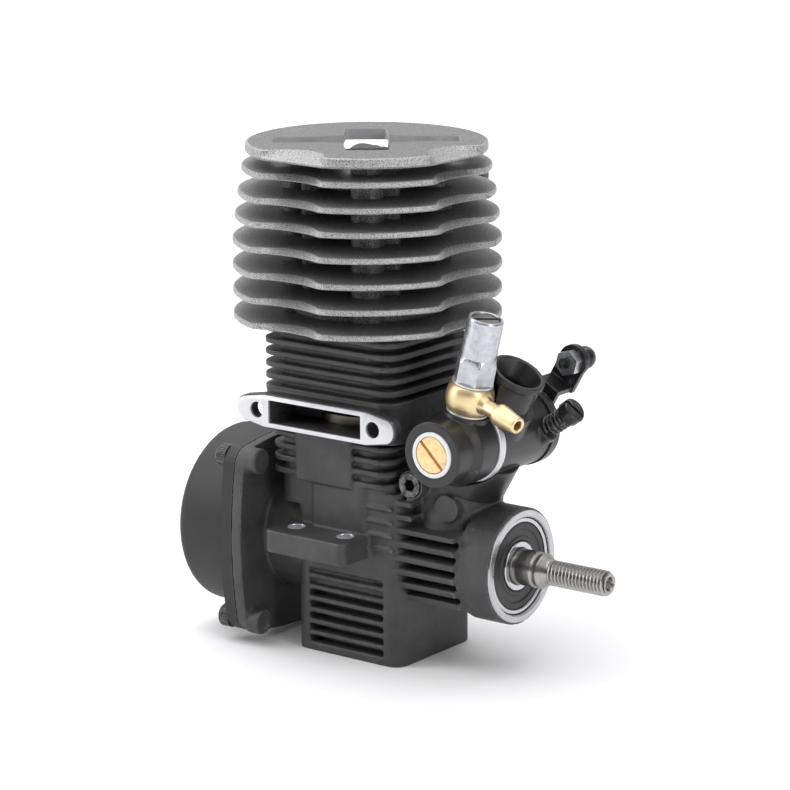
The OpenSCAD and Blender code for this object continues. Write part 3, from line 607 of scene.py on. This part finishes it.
def build_head():
    levels = [45.52, 50.37, 55.24, 60.21, 64.97, 69.49, 74.2]
    rims = [26.2, 26.2, 26.2, 26.15, 25.67, 25.04, 24.24]
    in_head = Matrix.Rotation(HEAD_TURN, 4, "Z")
    head = scratch(cooling_plate(levels[-1], rims[-1] - 0.02, 1.16, 4.7, 3.1), "head")
    carve(head, box_shape((-25, -4.4, 73), (-15.2, 4.4, 76)).marked(SLOT).moved(in_head))
    fins = Shape()
    for z, rim in zip(levels[:-1], rims[:-1]):
        fins.add(cooling_plate(z, rim - 0.02, 1.16, 4.7, 3.1))
    fins.add(lathe([(8.6, 45.3), (8.6, 74.6), (6.0, 74.6), (6.0, 45.3)], 48, closed=True).marked(DEEP_SHADE))
    base = fillet([(14.5, 45.2), (14.5, 48.4), (8, 48.4), (8, 45.2)], 0.5, True)
    fins.add(lathe([(p[0], p[1]) for p in base], 72, closed=True).marked(DEEP_SHADE))
    for k in range(4):
        top = 74.6 if k == 2 else 77.2
        turn = Matrix.Rotation(HEAD_TURN + k * TURN / 4, 4, "Z")
        fins.add(head_column(45.4, top).moved(turn).marked(DEEP_SHADE))
    crown = scratch(cooling_plate(78.1, 23.48, 1.98, 6.0, 1.25, CROWN), "crown")
    carve(crown, lathe([(0, 77.0), (6.6, 77.0), (6.6, 79.25), (0, 79.25)], 48).marked(CROWN), "UNION")
    wide = [(-13.2, -4.0), (-8.5, -4.4), (8.5, -4.4), (13.2, -4.0), (13.2, 4.0), (8.5, 4.4), (-8.5, 4.4),
            (-13.2, 4.0)]
    narrow = [(-3.2, -18.1), (3.2, -18.1), (3.3, -9.6), (4.6, -4.3), (4.6, 4.3), (3.3, 9.6), (3.2, 18.1),
              (-3.2, 18.1), (-3.3, 9.6), (-4.6, 4.3), (-4.6, -4.3), (-3.3, -9.6)]
    for outline in (wide, narrow):
        rounded = fillet([Vector(p) for p in outline], 0.7, True, 3)
        carve(crown, prism(rounded, 74, 82, 0.01).moved(in_head).marked(SLOT))
    join(head, fins, crown)
    finish_piece(head, "cooling_fins", "engine",
                 [M["head_face_shaded"], M["head_rim_glint"], M["head_deep_shade"], M["crown_face"], M["slot_wall"]],
                 ["cooling_head"], 17)


# ---------------------------------------------------------------- crankcase

def nose_fin(z):
    """A pair of cooling fins on the nose, thicker at the root."""
    tip = min(11.9, math.sqrt(12.2 ** 2 - z * z)) - 0.05
    end = 19 if z > 8 else 29.05
    pair = Shape()
    for side in (-1, 1):
        section = [(side * 6.5, z - 1.1), (side * tip, z - 0.62), (side * tip, z + 0.62), (side * 6.5, z + 1.1)]
        pair.add(rings_to_shape([[(x, y, h) for y, h in section] for x in (13, end)]))
    return pair


def neck_web():
    """The flared foot of the carburettor's neck, running down onto the nose."""
    rings = []
    for k in range(13):
        t = k / 12
        flare = (1 - t) ** 2
        middle = Vector((22.0 + 1.2 * t, 0, 5.5 + 10.5 * t))
        rings.append([middle + Vector(((7.9 - 0.9 * flare) * math.cos(TURN * i / 48),
                                       (8.2 + 1.5 * flare) * math.sin(TURN * i / 48), 0)) for i in range(48)])
    return rings_to_shape(rings)


def build_crankcase():
    case = cad_copy("crankcase", "case")
    # room for the crisp machined faces that are pieces of their own
    for v in case.data.vertices:
        x, y, z = v.co
        if y < -16.9 and 22 < z < 32:
            v.co.y = -17.02
        if x > 36.3:
            v.co.x = 36.5
    extra = neck_web()
    for k in range(8):
        extra.add(nose_fin(11.7 - 2.7 * k))
    join(case, extra)
    mould(case, 0.27, 3, 0.34)
    # bores that stay crisp: the crankshaft's way with the rear bearing's seat, and the bearer holes
    way = [(0, 8.2), (10.5, 8.2), (10.5, 13.3), (8.9, 13.3), (8.9, 13.8), (6.05, 13.8), (6.05, 30.2),
           (7.5, 30.2), (7.5, 30.6), (0, 30.6)]
    carve(case, lathe(way, 96).moved(place((0, 0, 0), (1, 0, 0))))
    for x in (-6, 6):
        for y in (-15.5, 15.5):
            hole = lathe([(0, -2), (1.72, -2), (1.72, 6), (0, 6)], 40)
            carve(case, hole.moved(Matrix.Translation((x, y, 0))))
    finish_piece(case, "crankcase_casting", "engine", [M["cast_black"]], ["crankcase"], 0)


def exhaust_outline(grow=0.0):
    half = 3.45 + grow
    ear = 2.7 + grow
    right = [Vector((16.7 + ear * math.cos(math.radians(17 * i)), ear * math.sin(math.radians(17 * i))))
             for i in range(-4, 5)]
    left = [Vector((-16.7 - ear * math.cos(math.radians(17 * i)), -ear * math.sin(math.radians(17 * i))))
            for i in range(-4, 5)]
    shape = right + [Vector((12.45, half)), Vector((-12.45, half))] + left
    return shape + [Vector((-12.45, -half)), Vector((12.45, -half))]


def build_machined_faces():
    at_flange = place((0, FLANGE_FRONT_Y, EXHAUST_Z), (0, -1, 0), (1, 0, 0))
    plate = scratch(prism(exhaust_outline(-0.3), -0.5, 0, 0.08).moved(at_flange), "plate")
    window = prism(rounded_rect(-11.25, -2.3, 11.25, 2.3, 0.25), -3, 3, 0.01).moved(at_flange)
    carve(plate, window)
    for side in (-1, 1):
        hole = lathe([(0, -3), (1.6, -3), (1.6, 3), (0, 3)], 40)
        carve(plate, hole.moved(at_flange @ Matrix.Translation((side * 14.15, 0, 0))))
    finish_piece(plate, "exhaust_flange_face", "engine", [M["machined_alloy"]], (), 30)

    ring = fillet([(9.52, 35.4), (10.6, 35.4), (11.05, 36.3), (10.95, NOSE_X), (9.75, NOSE_X), (9.52, 36.6)],
                  0.12, True)
    make("nose_ring", lathe([(p[0], p[1]) for p in ring], 128, closed=True).moved(place((0, 0, 0), (1, 0, 0))),
         "engine", [M["nose_face"]])

    sleeves = Shape()
    for x in (-6, 6):
        for y in (-15.5, 15.5):
            wall = fillet([(1.6, 0.02), (1.6, 4.25), (1.66, 4.47), (1.75, 4.47), (1.75, 0.02)], 0.03, True)
            sleeve = lathe([(p[0], p[1]) for p in wall], 40, closed=True)
            sleeves.add(sleeve.moved(Matrix.Translation((x, y, 0))))
    make("bearer_hole_walls", sleeves, "engine", [M["machined_alloy"]])


# ---------------------------------------------------------------- crankshaft and nose

def thread(radius, depth, pitch, x0, x1, sides=56, per_turn=14):
    """A right-hand screw thread along Z, fading out at both ends."""
    count = int((x1 - x0) / pitch * per_turn)
    rings = []
    for k in range(count + 1):
        x = x0 + (x1 - x0) * k / count
        fade = min(1, (x - x0) / (pitch * 0.7), 1.0)
        end = max(0.0, 1 - (x1 - x) / 0.6)
        ring = []
        for i in range(sides):
            a = TURN * i / sides
            phase = (x / pitch - i / sides) % 1.0
            wave = min(1, max(0, abs(phase - 0.5) * 2 * 1.25 - 0.1))
            r = radius - depth * fade * (1 - wave) - end * 0.55
            ring.append((r * math.cos(a), r * math.sin(a), x))
        rings.append(ring)
    return rings_to_shape(rings, caps=False)


def build_crankshaft():
    shaft = cad_copy("crankshaft", "shaft")
    cut = bmesh.new()
    cut.from_mesh(shaft.data)
    bmesh.ops.bisect_plane(cut, geom=cut.verts[:] + cut.edges[:] + cut.faces[:], dist=0.0001,
                           plane_co=(36.0, 0, 0), plane_no=(1, 0, 0), clear_outer=True)
    open_edges = [e for e in cut.edges if e.is_boundary]
    bmesh.ops.holes_fill(cut, edges=open_edges)
    cut.to_mesh(shaft.data)
    cut.free()
    along = place((0, 0, 0), (1, 0, 0))
    neck = fillet([(0, 35.9), (3.5, 35.9), (3.5, 40.6), (3.22, 40.9), (3.22, 41.5), (3.5, 41.8), (3.5, 42.2),
                   (2.55, 43.5), (2.45, 43.9)], 0.12)
    body = lathe([(p[0], p[1]) for p in neck], 56)
    body.add(thread(2.5, 0.5, 0.8, 43.9, SHAFT_TIP_X))
    tip = lathe([(1.95, SHAFT_TIP_X), (1.45, SHAFT_TIP_X), (1.25, SHAFT_TIP_X - 0.25),
                 (1.25, SHAFT_TIP_X - 6.8), (0, SHAFT_TIP_X - 7)], 56)
    body.add(tip)
    join(shaft, body.moved(along))
    finish_piece(shaft, "threaded_crankshaft", "crankshaft", [M["shaft_steel"]],
                 ["crankshaft"], 35)


def build_nose_bearing():
    x = node_box("front_bearing_outer_race")[1].x
    along = place((0, 0, 0), (1, 0, 0))
    low, high = node_box("front_bearing_seal")
    seal = fillet([(4.93, low.x), (8.53, low.x), (8.53, high.x - 0.1), (8.0, high.x), (7.3, high.x),
                   (7.1, high.x - 0.22), (5.9, high.x - 0.22), (5.7, high.x - 0.05), (5.1, high.x - 0.05),
                   (4.93, high.x - 0.2)], 0.12, True)
    make("bearing_shield", lathe([(p[0], p[1]) for p in seal], 96, closed=True).moved(along),
         "engine", [M["seal_rubber"]], ["front_bearing_seal"])
    outer = fillet([(8.57, x - 1.0), (8.57, x - 0.12), (8.7, x), (9.3, x), (9.49, x - 0.25), (9.49, x - 5.9),
                    (8.02, x - 5.9), (8.02, x - 1.0)], 0.08, True)
    inner = fillet([(3.52, x - 5.9), (4.84, x - 5.9), (4.84, x - 0.2), (4.7, x), (3.75, x), (3.52, x - 0.2)],
                   0.08, True)
    # the balls run in a groove of 1.8 mm radius, 6.45 mm from the shaft's axis
    ball_way = lathe([(6.45 + 1.8 * math.cos(TURN * k / 32), x - 3 + 1.8 * math.sin(TURN * k / 32))
                      for k in range(32)], 96, closed=True).moved(along)
    for name, profile, body, node in (
            ("bearing_outer_ring", outer, "engine", "front_bearing_outer_race"),
            ("bearing_inner_ring", inner, "crankshaft", "front_bearing_inner_race")):
        ring = scratch(lathe([(p[0], p[1]) for p in profile], 128, closed=True).moved(along), name)
        carve(ring, ball_way)
        finish_piece(ring, name, body, [M["bearing_steel"]], [node])


# ---------------------------------------------------------------- recoil starter

def knurled_screw(head_r, head_h, ridges=30, socket=1.15):
    """A cap screw's head with a knurled side and a hexagon socket; its top is at z = 0."""
    steps = ridges * 4
    def ring(z, r, knurl):
        return [((r + knurl * (1 if i % 4 in (1, 2) else -1)) * math.cos(TURN * i / steps),
                 (r + knurl * (1 if i % 4 in (1, 2) else -1)) * math.sin(TURN * i / steps), z)
                for i in range(steps)]
    rings = [ring(-head_h, head_r - 0.1, 0), ring(-head_h, head_r, 0.0),
             ring(-head_h + 0.15, head_r - 0.06, 0.07), ring(-0.35, head_r - 0.06, 0.07),
             ring(-0.28, head_r - 0.08, 0), ring(-0.06, head_r - 0.25, 0),
             ring(0, head_r - 0.5, 0)]
    head = scratch(rings_to_shape(rings), "screw")
    carve(head, prism(polygon(socket, 6), -head_h * 0.62, 1, 0.01))
    return head


def build_starter():
    shell = frame["nodes"]["starter_housing"]
    soft = shell.modifiers.new("round edges", "BEVEL")
    soft.width = 0.35 * MM
    soft.segments = 3
    soft.limit_method = "ANGLE"
    soft.angle_limit = math.radians(40)

    low, high = node_box("starter_screws")
    screws = None
    for y in (-1, 1):
        for z in (-1, 1):
            head = knurled_screw(2.3, 2.6)
            head.data.transform(place((low.x, y * SCREW_YZ, z * SCREW_YZ), (-1, 0, 0)))
            screws = join(screws, head) if screws else head
    shanks = Shape()
    for y in (-1, 1):
        for z in (-1, 1):
            shank = lathe([(0, low.x + 2.5), (1.28, low.x + 2.5), (1.28, high.x - 0.3), (0.9, high.x),
                           (0, high.x)], 24)
            shanks.add(shank.moved(place((0, y * SCREW_YZ, z * SCREW_YZ), (1, 0, 0))))
    join(screws, shanks)
    finish_piece(screws, "housing_cap_screws", "engine", [M["black_steel"]],
                 ["starter_screws"], 30)


def build_rope_and_handle():
    along = HANDLE - ROPE_MOUTH
    length = along.length
    run = length - 9
    frame_at = place(ROPE_MOUTH, along, (0, 0, 1))
    radius = 0.9
    # three strands laid round each other
    rope = Shape()
    strands, sides, per_mm = 3, 8, 2.2
    exit_lean = math.radians(15.7)
    exit_dir = Vector((0, math.sin(exit_lean), math.cos(exit_lean)))
    way = along.normalized()
    spots = []
    inside = 14.3                        # straight run from the pulley to the eyelet
    bend = 1.2                           # the rope eases round the eyelet over this much each way
    for k in range(int((inside + run) * per_mm) + 1):
        s = k / per_mm - inside
        turn_in = min(1, max(0, (s + bend) / (2 * bend)))
        if s < -bend:
            spots.append(ROPE_MOUTH + exit_dir * s)
        elif s > bend:
            spots.append(ROPE_MOUTH + way * s)
        else:
            a, b = ROPE_MOUTH - exit_dir * bend, ROPE_MOUTH + way * bend
            spots.append(a * (1 - turn_in) ** 2 + ROPE_MOUTH * 2 * turn_in * (1 - turn_in)
                         + b * turn_in ** 2)
    side_a = way.orthogonal().normalized()
    side_b = way.cross(side_a)
    for n in range(strands):
        path = []
        for k, p in enumerate(spots):
            a = TURN * (n / strands + k / per_mm / 4.2)
            path.append(p + (side_a * math.cos(a) + side_b * math.sin(a)) * radius * 0.46)
        rope.add(tube(path, radius * 0.52, sides))
    for layer in (12.7, 10.9):
        for s in (-1, 1):
            circle = [(ROPE_MOUTH.x + s * radius, layer * math.cos(TURN * i / 90), layer * math.sin(TURN * i / 90))
                      for i in range(90)]
            rope.add(tube(circle, radius * 0.97, 8, closed=True))
    rope_piece = make("pull_rope", rope, "engine", [M["rope_cord"]], ["starter_rope"], 0)
    rope_piece.parent = None
    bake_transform(rope_piece)

    grip_low, grip_high = node_box("starter_handle")
    grip_len = grip_high.x - grip_low.x
    count = 48
    rings = []
    for k in range(count + 1):
        t = k / count
        x = -grip_len / 2 + grip_len * t
        u = abs(2 * t - 1)
        waist = 3.75 + 0.8 * u ** 2
        cap = math.sqrt(max(0, 1 - max(0, (u - 0.8) / 0.2) ** 2))
        ribs = 0.13 * math.cos(TURN * x / 2.1) if u < 0.72 else 0
        r = max(0.02, (waist + ribs) * cap)
        rings.append([(x, r * math.cos(TURN * i / 40), r * 0.94 * math.sin(TURN * i / 40)) for i in range(40)])
    grip = rings_to_shape(rings).moved(Matrix.Translation(HANDLE))
    wall = fillet([(0, length - 9), (1.6, length - 9), (2.0, length - 8.6), (2.3, length - 6),
                   (3.4, length - 3), (3.4, length), (0, length)], 0.6)
    grip.add(lathe([(p[0], p[1]) for p in wall], 40).moved(frame_at))
    obj = scratch(grip, "grip")
    mould(obj, 0.3, 3, 0.5)
    finish_piece(obj, "pull_handle", "handle", [M["handle_plastic"]],
                 ["starter_handle"], 0)


# ---------------------------------------------------------------- carburettor

def on_carb(tilt, y=0.0):
    axis = (math.sin(tilt), 0, math.cos(tilt))
    return place((CARB.x, y, CARB.z), axis, (math.cos(tilt), 0, -math.sin(tilt)))


def build_carburettor():
    for node, name, voxel in (("carburettor_body", "carb_moulding", 0.2),
                              ("carburettor_end_cap", "carb_cap_moulding", 0.19),
                              ("throttle_lever", "bent_lever", 0.13)):
        obj = cad_copy(node, name)
        mould(obj, voxel, 3, 0.4)
        slot = "black_steel" if node == "throttle_lever" else "carb_plastic"
        body = "throttle" if node == "throttle_lever" else "engine"
        finish_piece(obj, name, body, [M[slot]], [node], 0)

    column = on_carb(NEEDLE_TILT, -8)
    hexagon = scratch(prism(polygon(4.05, 6, math.radians(12)), 13.4, 18.6, 0.04), "hex")
    cone = lathe([(0, 13), (4.3, 13), (4.3, 16.6), (3.4, 18.7), (0, 18.7)], 72)
    carve(hexagon, cone, "INTERSECT")
    sleeve = lathe([(p[0], p[1]) for p in fillet([(3.46, 17.2), (3.46, 25.9), (3.3, 26.28), (2.85, 26.28),
                                                  (2.72, 26.1), (2.72, 17.5)], 0.1)], 72)
    carve(hexagon, lathe([(0, 12), (0.95, 12), (0.95, 20), (0, 20)], 36))
    stem = lathe([(0.95, 4.2), (1.95, 4.2), (1.95, 13.6), (0.95, 13.6)], 36, closed=True)
    step = lathe([(0.95, 17.4), (3.0, 17.4), (3.0, 17.6), (0.95, 17.6)], 36, closed=True)
    extra = scratch(sleeve.add(step).add(stem), "sleeve")
    join(hexagon, extra)
    hexagon.data.transform(column)
    finish_piece(hexagon, "needle_housing", "engine", [M["zinc"]], ["needle_body"], 30)

    def slotted(radius, z0, z1, slot_w, slot_d, turn, edge=0.15):
        wall = fillet([(0, z0), (radius, z0), (radius, z1 - edge), (radius - edge, z1), (0, z1)], 0.05)
        head = scratch(lathe([(p[0], p[1]) for p in wall], 64), "slotted")
        groove = box_shape((-radius * 1.3, -slot_w / 2, z1 - slot_d), (radius * 1.3, slot_w / 2, z1 + 1))
        carve(head, groove.moved(Matrix.Rotation(turn, 4, "Z")))
        return head

    top = slotted(2.62, 22.5, 26.0, 0.85, 1.1, math.radians(62))
    shank = scratch(lathe([(0, 5.2), (0.3, 5.2), (0.88, 8), (0.88, 20), (2.1, 20), (2.1, 22.6), (0, 22.6)], 36))
    join(top, shank)
    top.data.transform(column)
    finish_piece(top, "mixture_needle", "main_needle", [M["screw_steel"]], ["main_needle"], 30)

    bulge = fillet([(2.05, 7.52), (3.9, 7.52), (4.45, 8.6), (4.68, 10.25), (4.45, 11.9), (3.9, 12.98),
                    (2.05, 12.98)], 1.2, True, 6)
    banjo = lathe([(p[0], p[1]) for p in bulge], 72, closed=True)
    nipple_profile = fillet([(0.9, 3.2), (2.1, 3.9), (1.47, 5.3), (1.43, 8.2), (1.5, 8.4), (2.1, 8.42),
                             (2.14, 9.1), (1.6, 13.8), (1.45, 13.98), (1.05, 13.98), (0.9, 13.8)], 0.14, True)
    nipple = lathe([(p[0], p[1]) for p in nipple_profile], 48, closed=True)
    turn = math.radians(-13)
    out = place((0, 0, 10.2), (math.cos(turn), math.sin(turn), 0), (0, 0, 1))
    make("banjo_fitting", banjo.add(nipple.moved(out)).moved(column), "engine", [M["brass"]],
         ["fuel_banjo"], 30)

    washers = Shape()
    for z in (7.1, 13.0):
        washer = fillet([(2.06, z), (4.0, z), (4.0, z + 0.4), (2.06, z + 0.4)], 0.12, True)
        washers.add(lathe([(p[0], p[1]) for p in washer], 64, closed=True))
    make("sealing_washers", washers.moved(column), "engine", [M["machined_alloy"]],
         ["banjo_washers"])

    # low-speed needle and its white collar, seen end on
    at_end = place((CARB.x, -17.1, CARB.z), (0, -1, 0), (0, 0, 1))
    brass = slotted(3.5, -0.65, 0.0, 0.72, 0.5, math.radians(45), 0.12)
    stem_shape = scratch(lathe([(0, -8.5), (1.9, -8.5), (2.4, -8.1), (2.4, -0.6), (0, -0.6)], 40))
    join(brass, stem_shape)
    brass.data.transform(at_end)
    finish_piece(brass, "idle_mixture_screw", "low_speed_needle", [M["brass_face"]],
                 ["low_speed_needle"], 30)
    collar = fillet([(2.5, -1.7), (4.4, -1.7), (4.43, -0.1), (4.3, 0.1), (3.68, 0.1), (3.6, 0.0), (3.6, -0.75),
                     (2.5, -0.75)], 0.1, True)
    make("white_collar", lathe([(p[0], p[1]) for p in collar], 72, closed=True).moved(at_end), "engine",
         [M["white_plastic"]], ["low_speed_collar"])

    ring = fillet([(4.05, -3.5), (7.55, -3.5), (7.75, -3.7), (7.75, -5.2), (7.55, -5.4), (4.05, -5.4)],
                  0.15, True)
    bright = lathe([(p[0], -p[1]) for p in ring], 96, closed=True)
    make("alloy_ring", bright.moved(place((CARB.x, 0, CARB.z), (0, -1, 0))), "engine",
         [M["machined_alloy"]], ["carburettor_ring"])

    # idle stop screw with its spring
    at_idle = place(IDLE_HEAD, (math.sin(IDLE_TILT), 0, math.cos(IDLE_TILT)), (0, 1, 0))
    stop = slotted(2.48, -1.1, 1.1, 0.7, 0.9, math.radians(-60), 0.3)
    shank = scratch(lathe([(0, -8.6), (0.7, -8.6), (0.98, -8.2), (0.98, -1.0), (0, -1.0)], 32))
    join(stop, shank)
    stop.data.transform(at_idle)
    finish_piece(stop, "stop_screw", "idle_screw", [M["black_steel"]], ["idle_stop_screw"], 30)
    turns, fine = 4.6, 26
    coil = [(1.85 * math.cos(TURN * k / fine), 1.85 * math.sin(TURN * k / fine),
             -1.5 - 4.75 * k / (turns * fine)) for k in range(int(turns * fine) + 1)]
    make("stop_spring", tube(coil, 0.29, 10).moved(at_idle), "engine", [M["black_steel"]],
         ["idle_spring"], 0)


# ---------------------------------------------------------------- carried-over CAD nodes

def dress_cad_nodes():
    """Gives every CAD node a real material, and the listed ones softened edges."""
    slots = {s["node"]: s["material_slot"] for s in frame["record"]["subparts"]}
    named = {"cast_silver": "head_face_shaded"}
    by_node = {"cylinder_liner": "liner", "backplate": "starter_plastic", "backplate_gasket": "seal_rubber"}
    for node, obj in frame["nodes"].items():
        slot = slots[node]
        obj.data.materials.clear()
        obj.data.materials.append(M[by_node.get(node) or named.get(slot, slot)])
        if node in ("backplate", "backplate_gasket", "ball_nut", "ball_stud", "dust_ring", "glow_plug",
                    "carburettor_screw", "rope_eyelet", "connecting_rod", "piston", "head_screws"):
            soft = obj.modifiers.new("round edges", "BEVEL")
            soft.width = 0.12 * MM
            soft.segments = 2
            soft.limit_method = "ANGLE"
            soft.angle_limit = math.radians(40)


# ---------------------------------------------------------------- stage, light and camera

def build_stage():
    floor_mesh = bpy.data.meshes.new("floor")
    size = 4.0
    z = FOOT_Z * MM
    floor_mesh.from_pydata([(-size, -size, z), (size, -size, z), (size, size, z), (-size, size, z)], [],
                           [(0, 1, 2, 3)])
    floor = bpy.data.objects.new("floor", floor_mesh)
    bpy.context.scene.collection.objects.link(floor)
    paper = bpy.data.materials.new("paper")
    paper.use_nodes = True
    shader = paper.node_tree.nodes["Principled BSDF"]
    shader.inputs["Base Color"].default_value = (0.92, 0.92, 0.93, 1)
    shader.inputs["Roughness"].default_value = 0.9
    shader.inputs["Specular IOR Level"].default_value = 0.1
    floor.data.materials.append(paper)

    world = bpy.data.worlds.new("studio")
    bpy.context.scene.world = world
    world.use_nodes = True
    nodes, links = world.node_tree.nodes, world.node_tree.links
    coords = nodes.new("ShaderNodeTexCoord")

    def facing(direction, start, end):
        """1 where the sky lies toward a direction, 0 away from it."""
        dot = nodes.new("ShaderNodeVectorMath")
        dot.operation = "DOT_PRODUCT"
        links.new(coords.outputs["Generated"], dot.inputs[0])
        dot.inputs[1].default_value = direction
        ramp = nodes.new("ShaderNodeMapRange")
        ramp.interpolation_type = "SMOOTHSTEP"
        links.new(dot.outputs["Value"], ramp.inputs["Value"])
        ramp.inputs["From Min"].default_value = start
        ramp.inputs["From Max"].default_value = end
        return ramp.outputs["Result"]

    both = nodes.new("ShaderNodeMath")
    both.operation = "MAXIMUM"
    links.new(facing((-0.603, 0.797, 0), 0.0, 0.7), both.inputs[0])
    links.new(facing((0, 0, 1), 0.35, 0.8), both.inputs[1])
    mix = nodes.new("ShaderNodeMix")
    mix.data_type = "RGBA"
    links.new(both.outputs[0], mix.inputs[0])
    mix.inputs[6].default_value = (0.10, 0.10, 0.105, 1)
    mix.inputs[7].default_value = (0.95, 0.95, 0.96, 1)
    links.new(mix.outputs[2], nodes["Background"].inputs["Color"])
    nodes["Background"].inputs["Strength"].default_value = 0.8

    sun = bpy.data.lights.new("overhead", "SUN")
    sun.energy = 2.3
    sun.angle = math.radians(80)
    overhead = bpy.data.objects.new("overhead", sun)
    bpy.context.scene.collection.objects.link(overhead)
    overhead.rotation_euler = Vector((0.42, -0.05, -1)).to_track_quat("-Z", "Y").to_euler()

    def softbox(name, at, size, watts, aim=(0.005, 0, 0.03)):
        light = bpy.data.lights.new(name, "AREA")
        light.shape = "RECTANGLE"
        light.size, light.size_y = size
        light.energy = watts
        obj = bpy.data.objects.new(name, light)
        bpy.context.scene.collection.objects.link(obj)
        obj.location = at
        obj.rotation_euler = (Vector(aim) - Vector(at)).to_track_quat("-Z", "Y").to_euler()

    softbox("left_light", (-0.60, -0.50, 0.35), (0.22, 0.6), 2.5)
    softbox("right_light", (0.75, -0.20, 0.30), (0.16, 0.6), 2.0)


def build_camera():
    azimuth, elevation, roll = (math.radians(a) for a in (37.10, 13.45, -0.30))
    ahead = Vector((-math.sin(azimuth) * math.cos(elevation), math.cos(azimuth) * math.cos(elevation),
                    -math.sin(elevation)))
    right = Vector((math.cos(azimuth), math.sin(azimuth), 0))
    up = right.cross(ahead)
    level_right = right * math.cos(roll) + up * math.sin(roll)
    level_up = up * math.cos(roll) - right * math.sin(roll)
    data = bpy.data.cameras.new("camera")
    camera = bpy.data.objects.new("camera", data)
    bpy.context.scene.collection.objects.link(camera)
    at = Vector((0.37487, -0.48707, 0.17554))
    camera.matrix_world = Matrix((
        (level_right.x, level_up.x, -ahead.x, at.x),
        (level_right.y, level_up.y, -ahead.y, at.y),
        (level_right.z, level_up.z, -ahead.z, at.z),
        (0, 0, 0, 1)))
    data.sensor_width = 36
    data.lens = 147.0
    data.clip_start = 0.01
    data.clip_end = 20
    bpy.context.scene.camera = camera


bpy.context.scene.view_settings.view_transform = "Standard"
build_camera()
build_stage()
dress_cad_nodes()
build_head()
build_crankcase()
build_machined_faces()
build_crankshaft()
build_nose_bearing()
build_starter()
build_rope_and_handle()
build_carburettor()
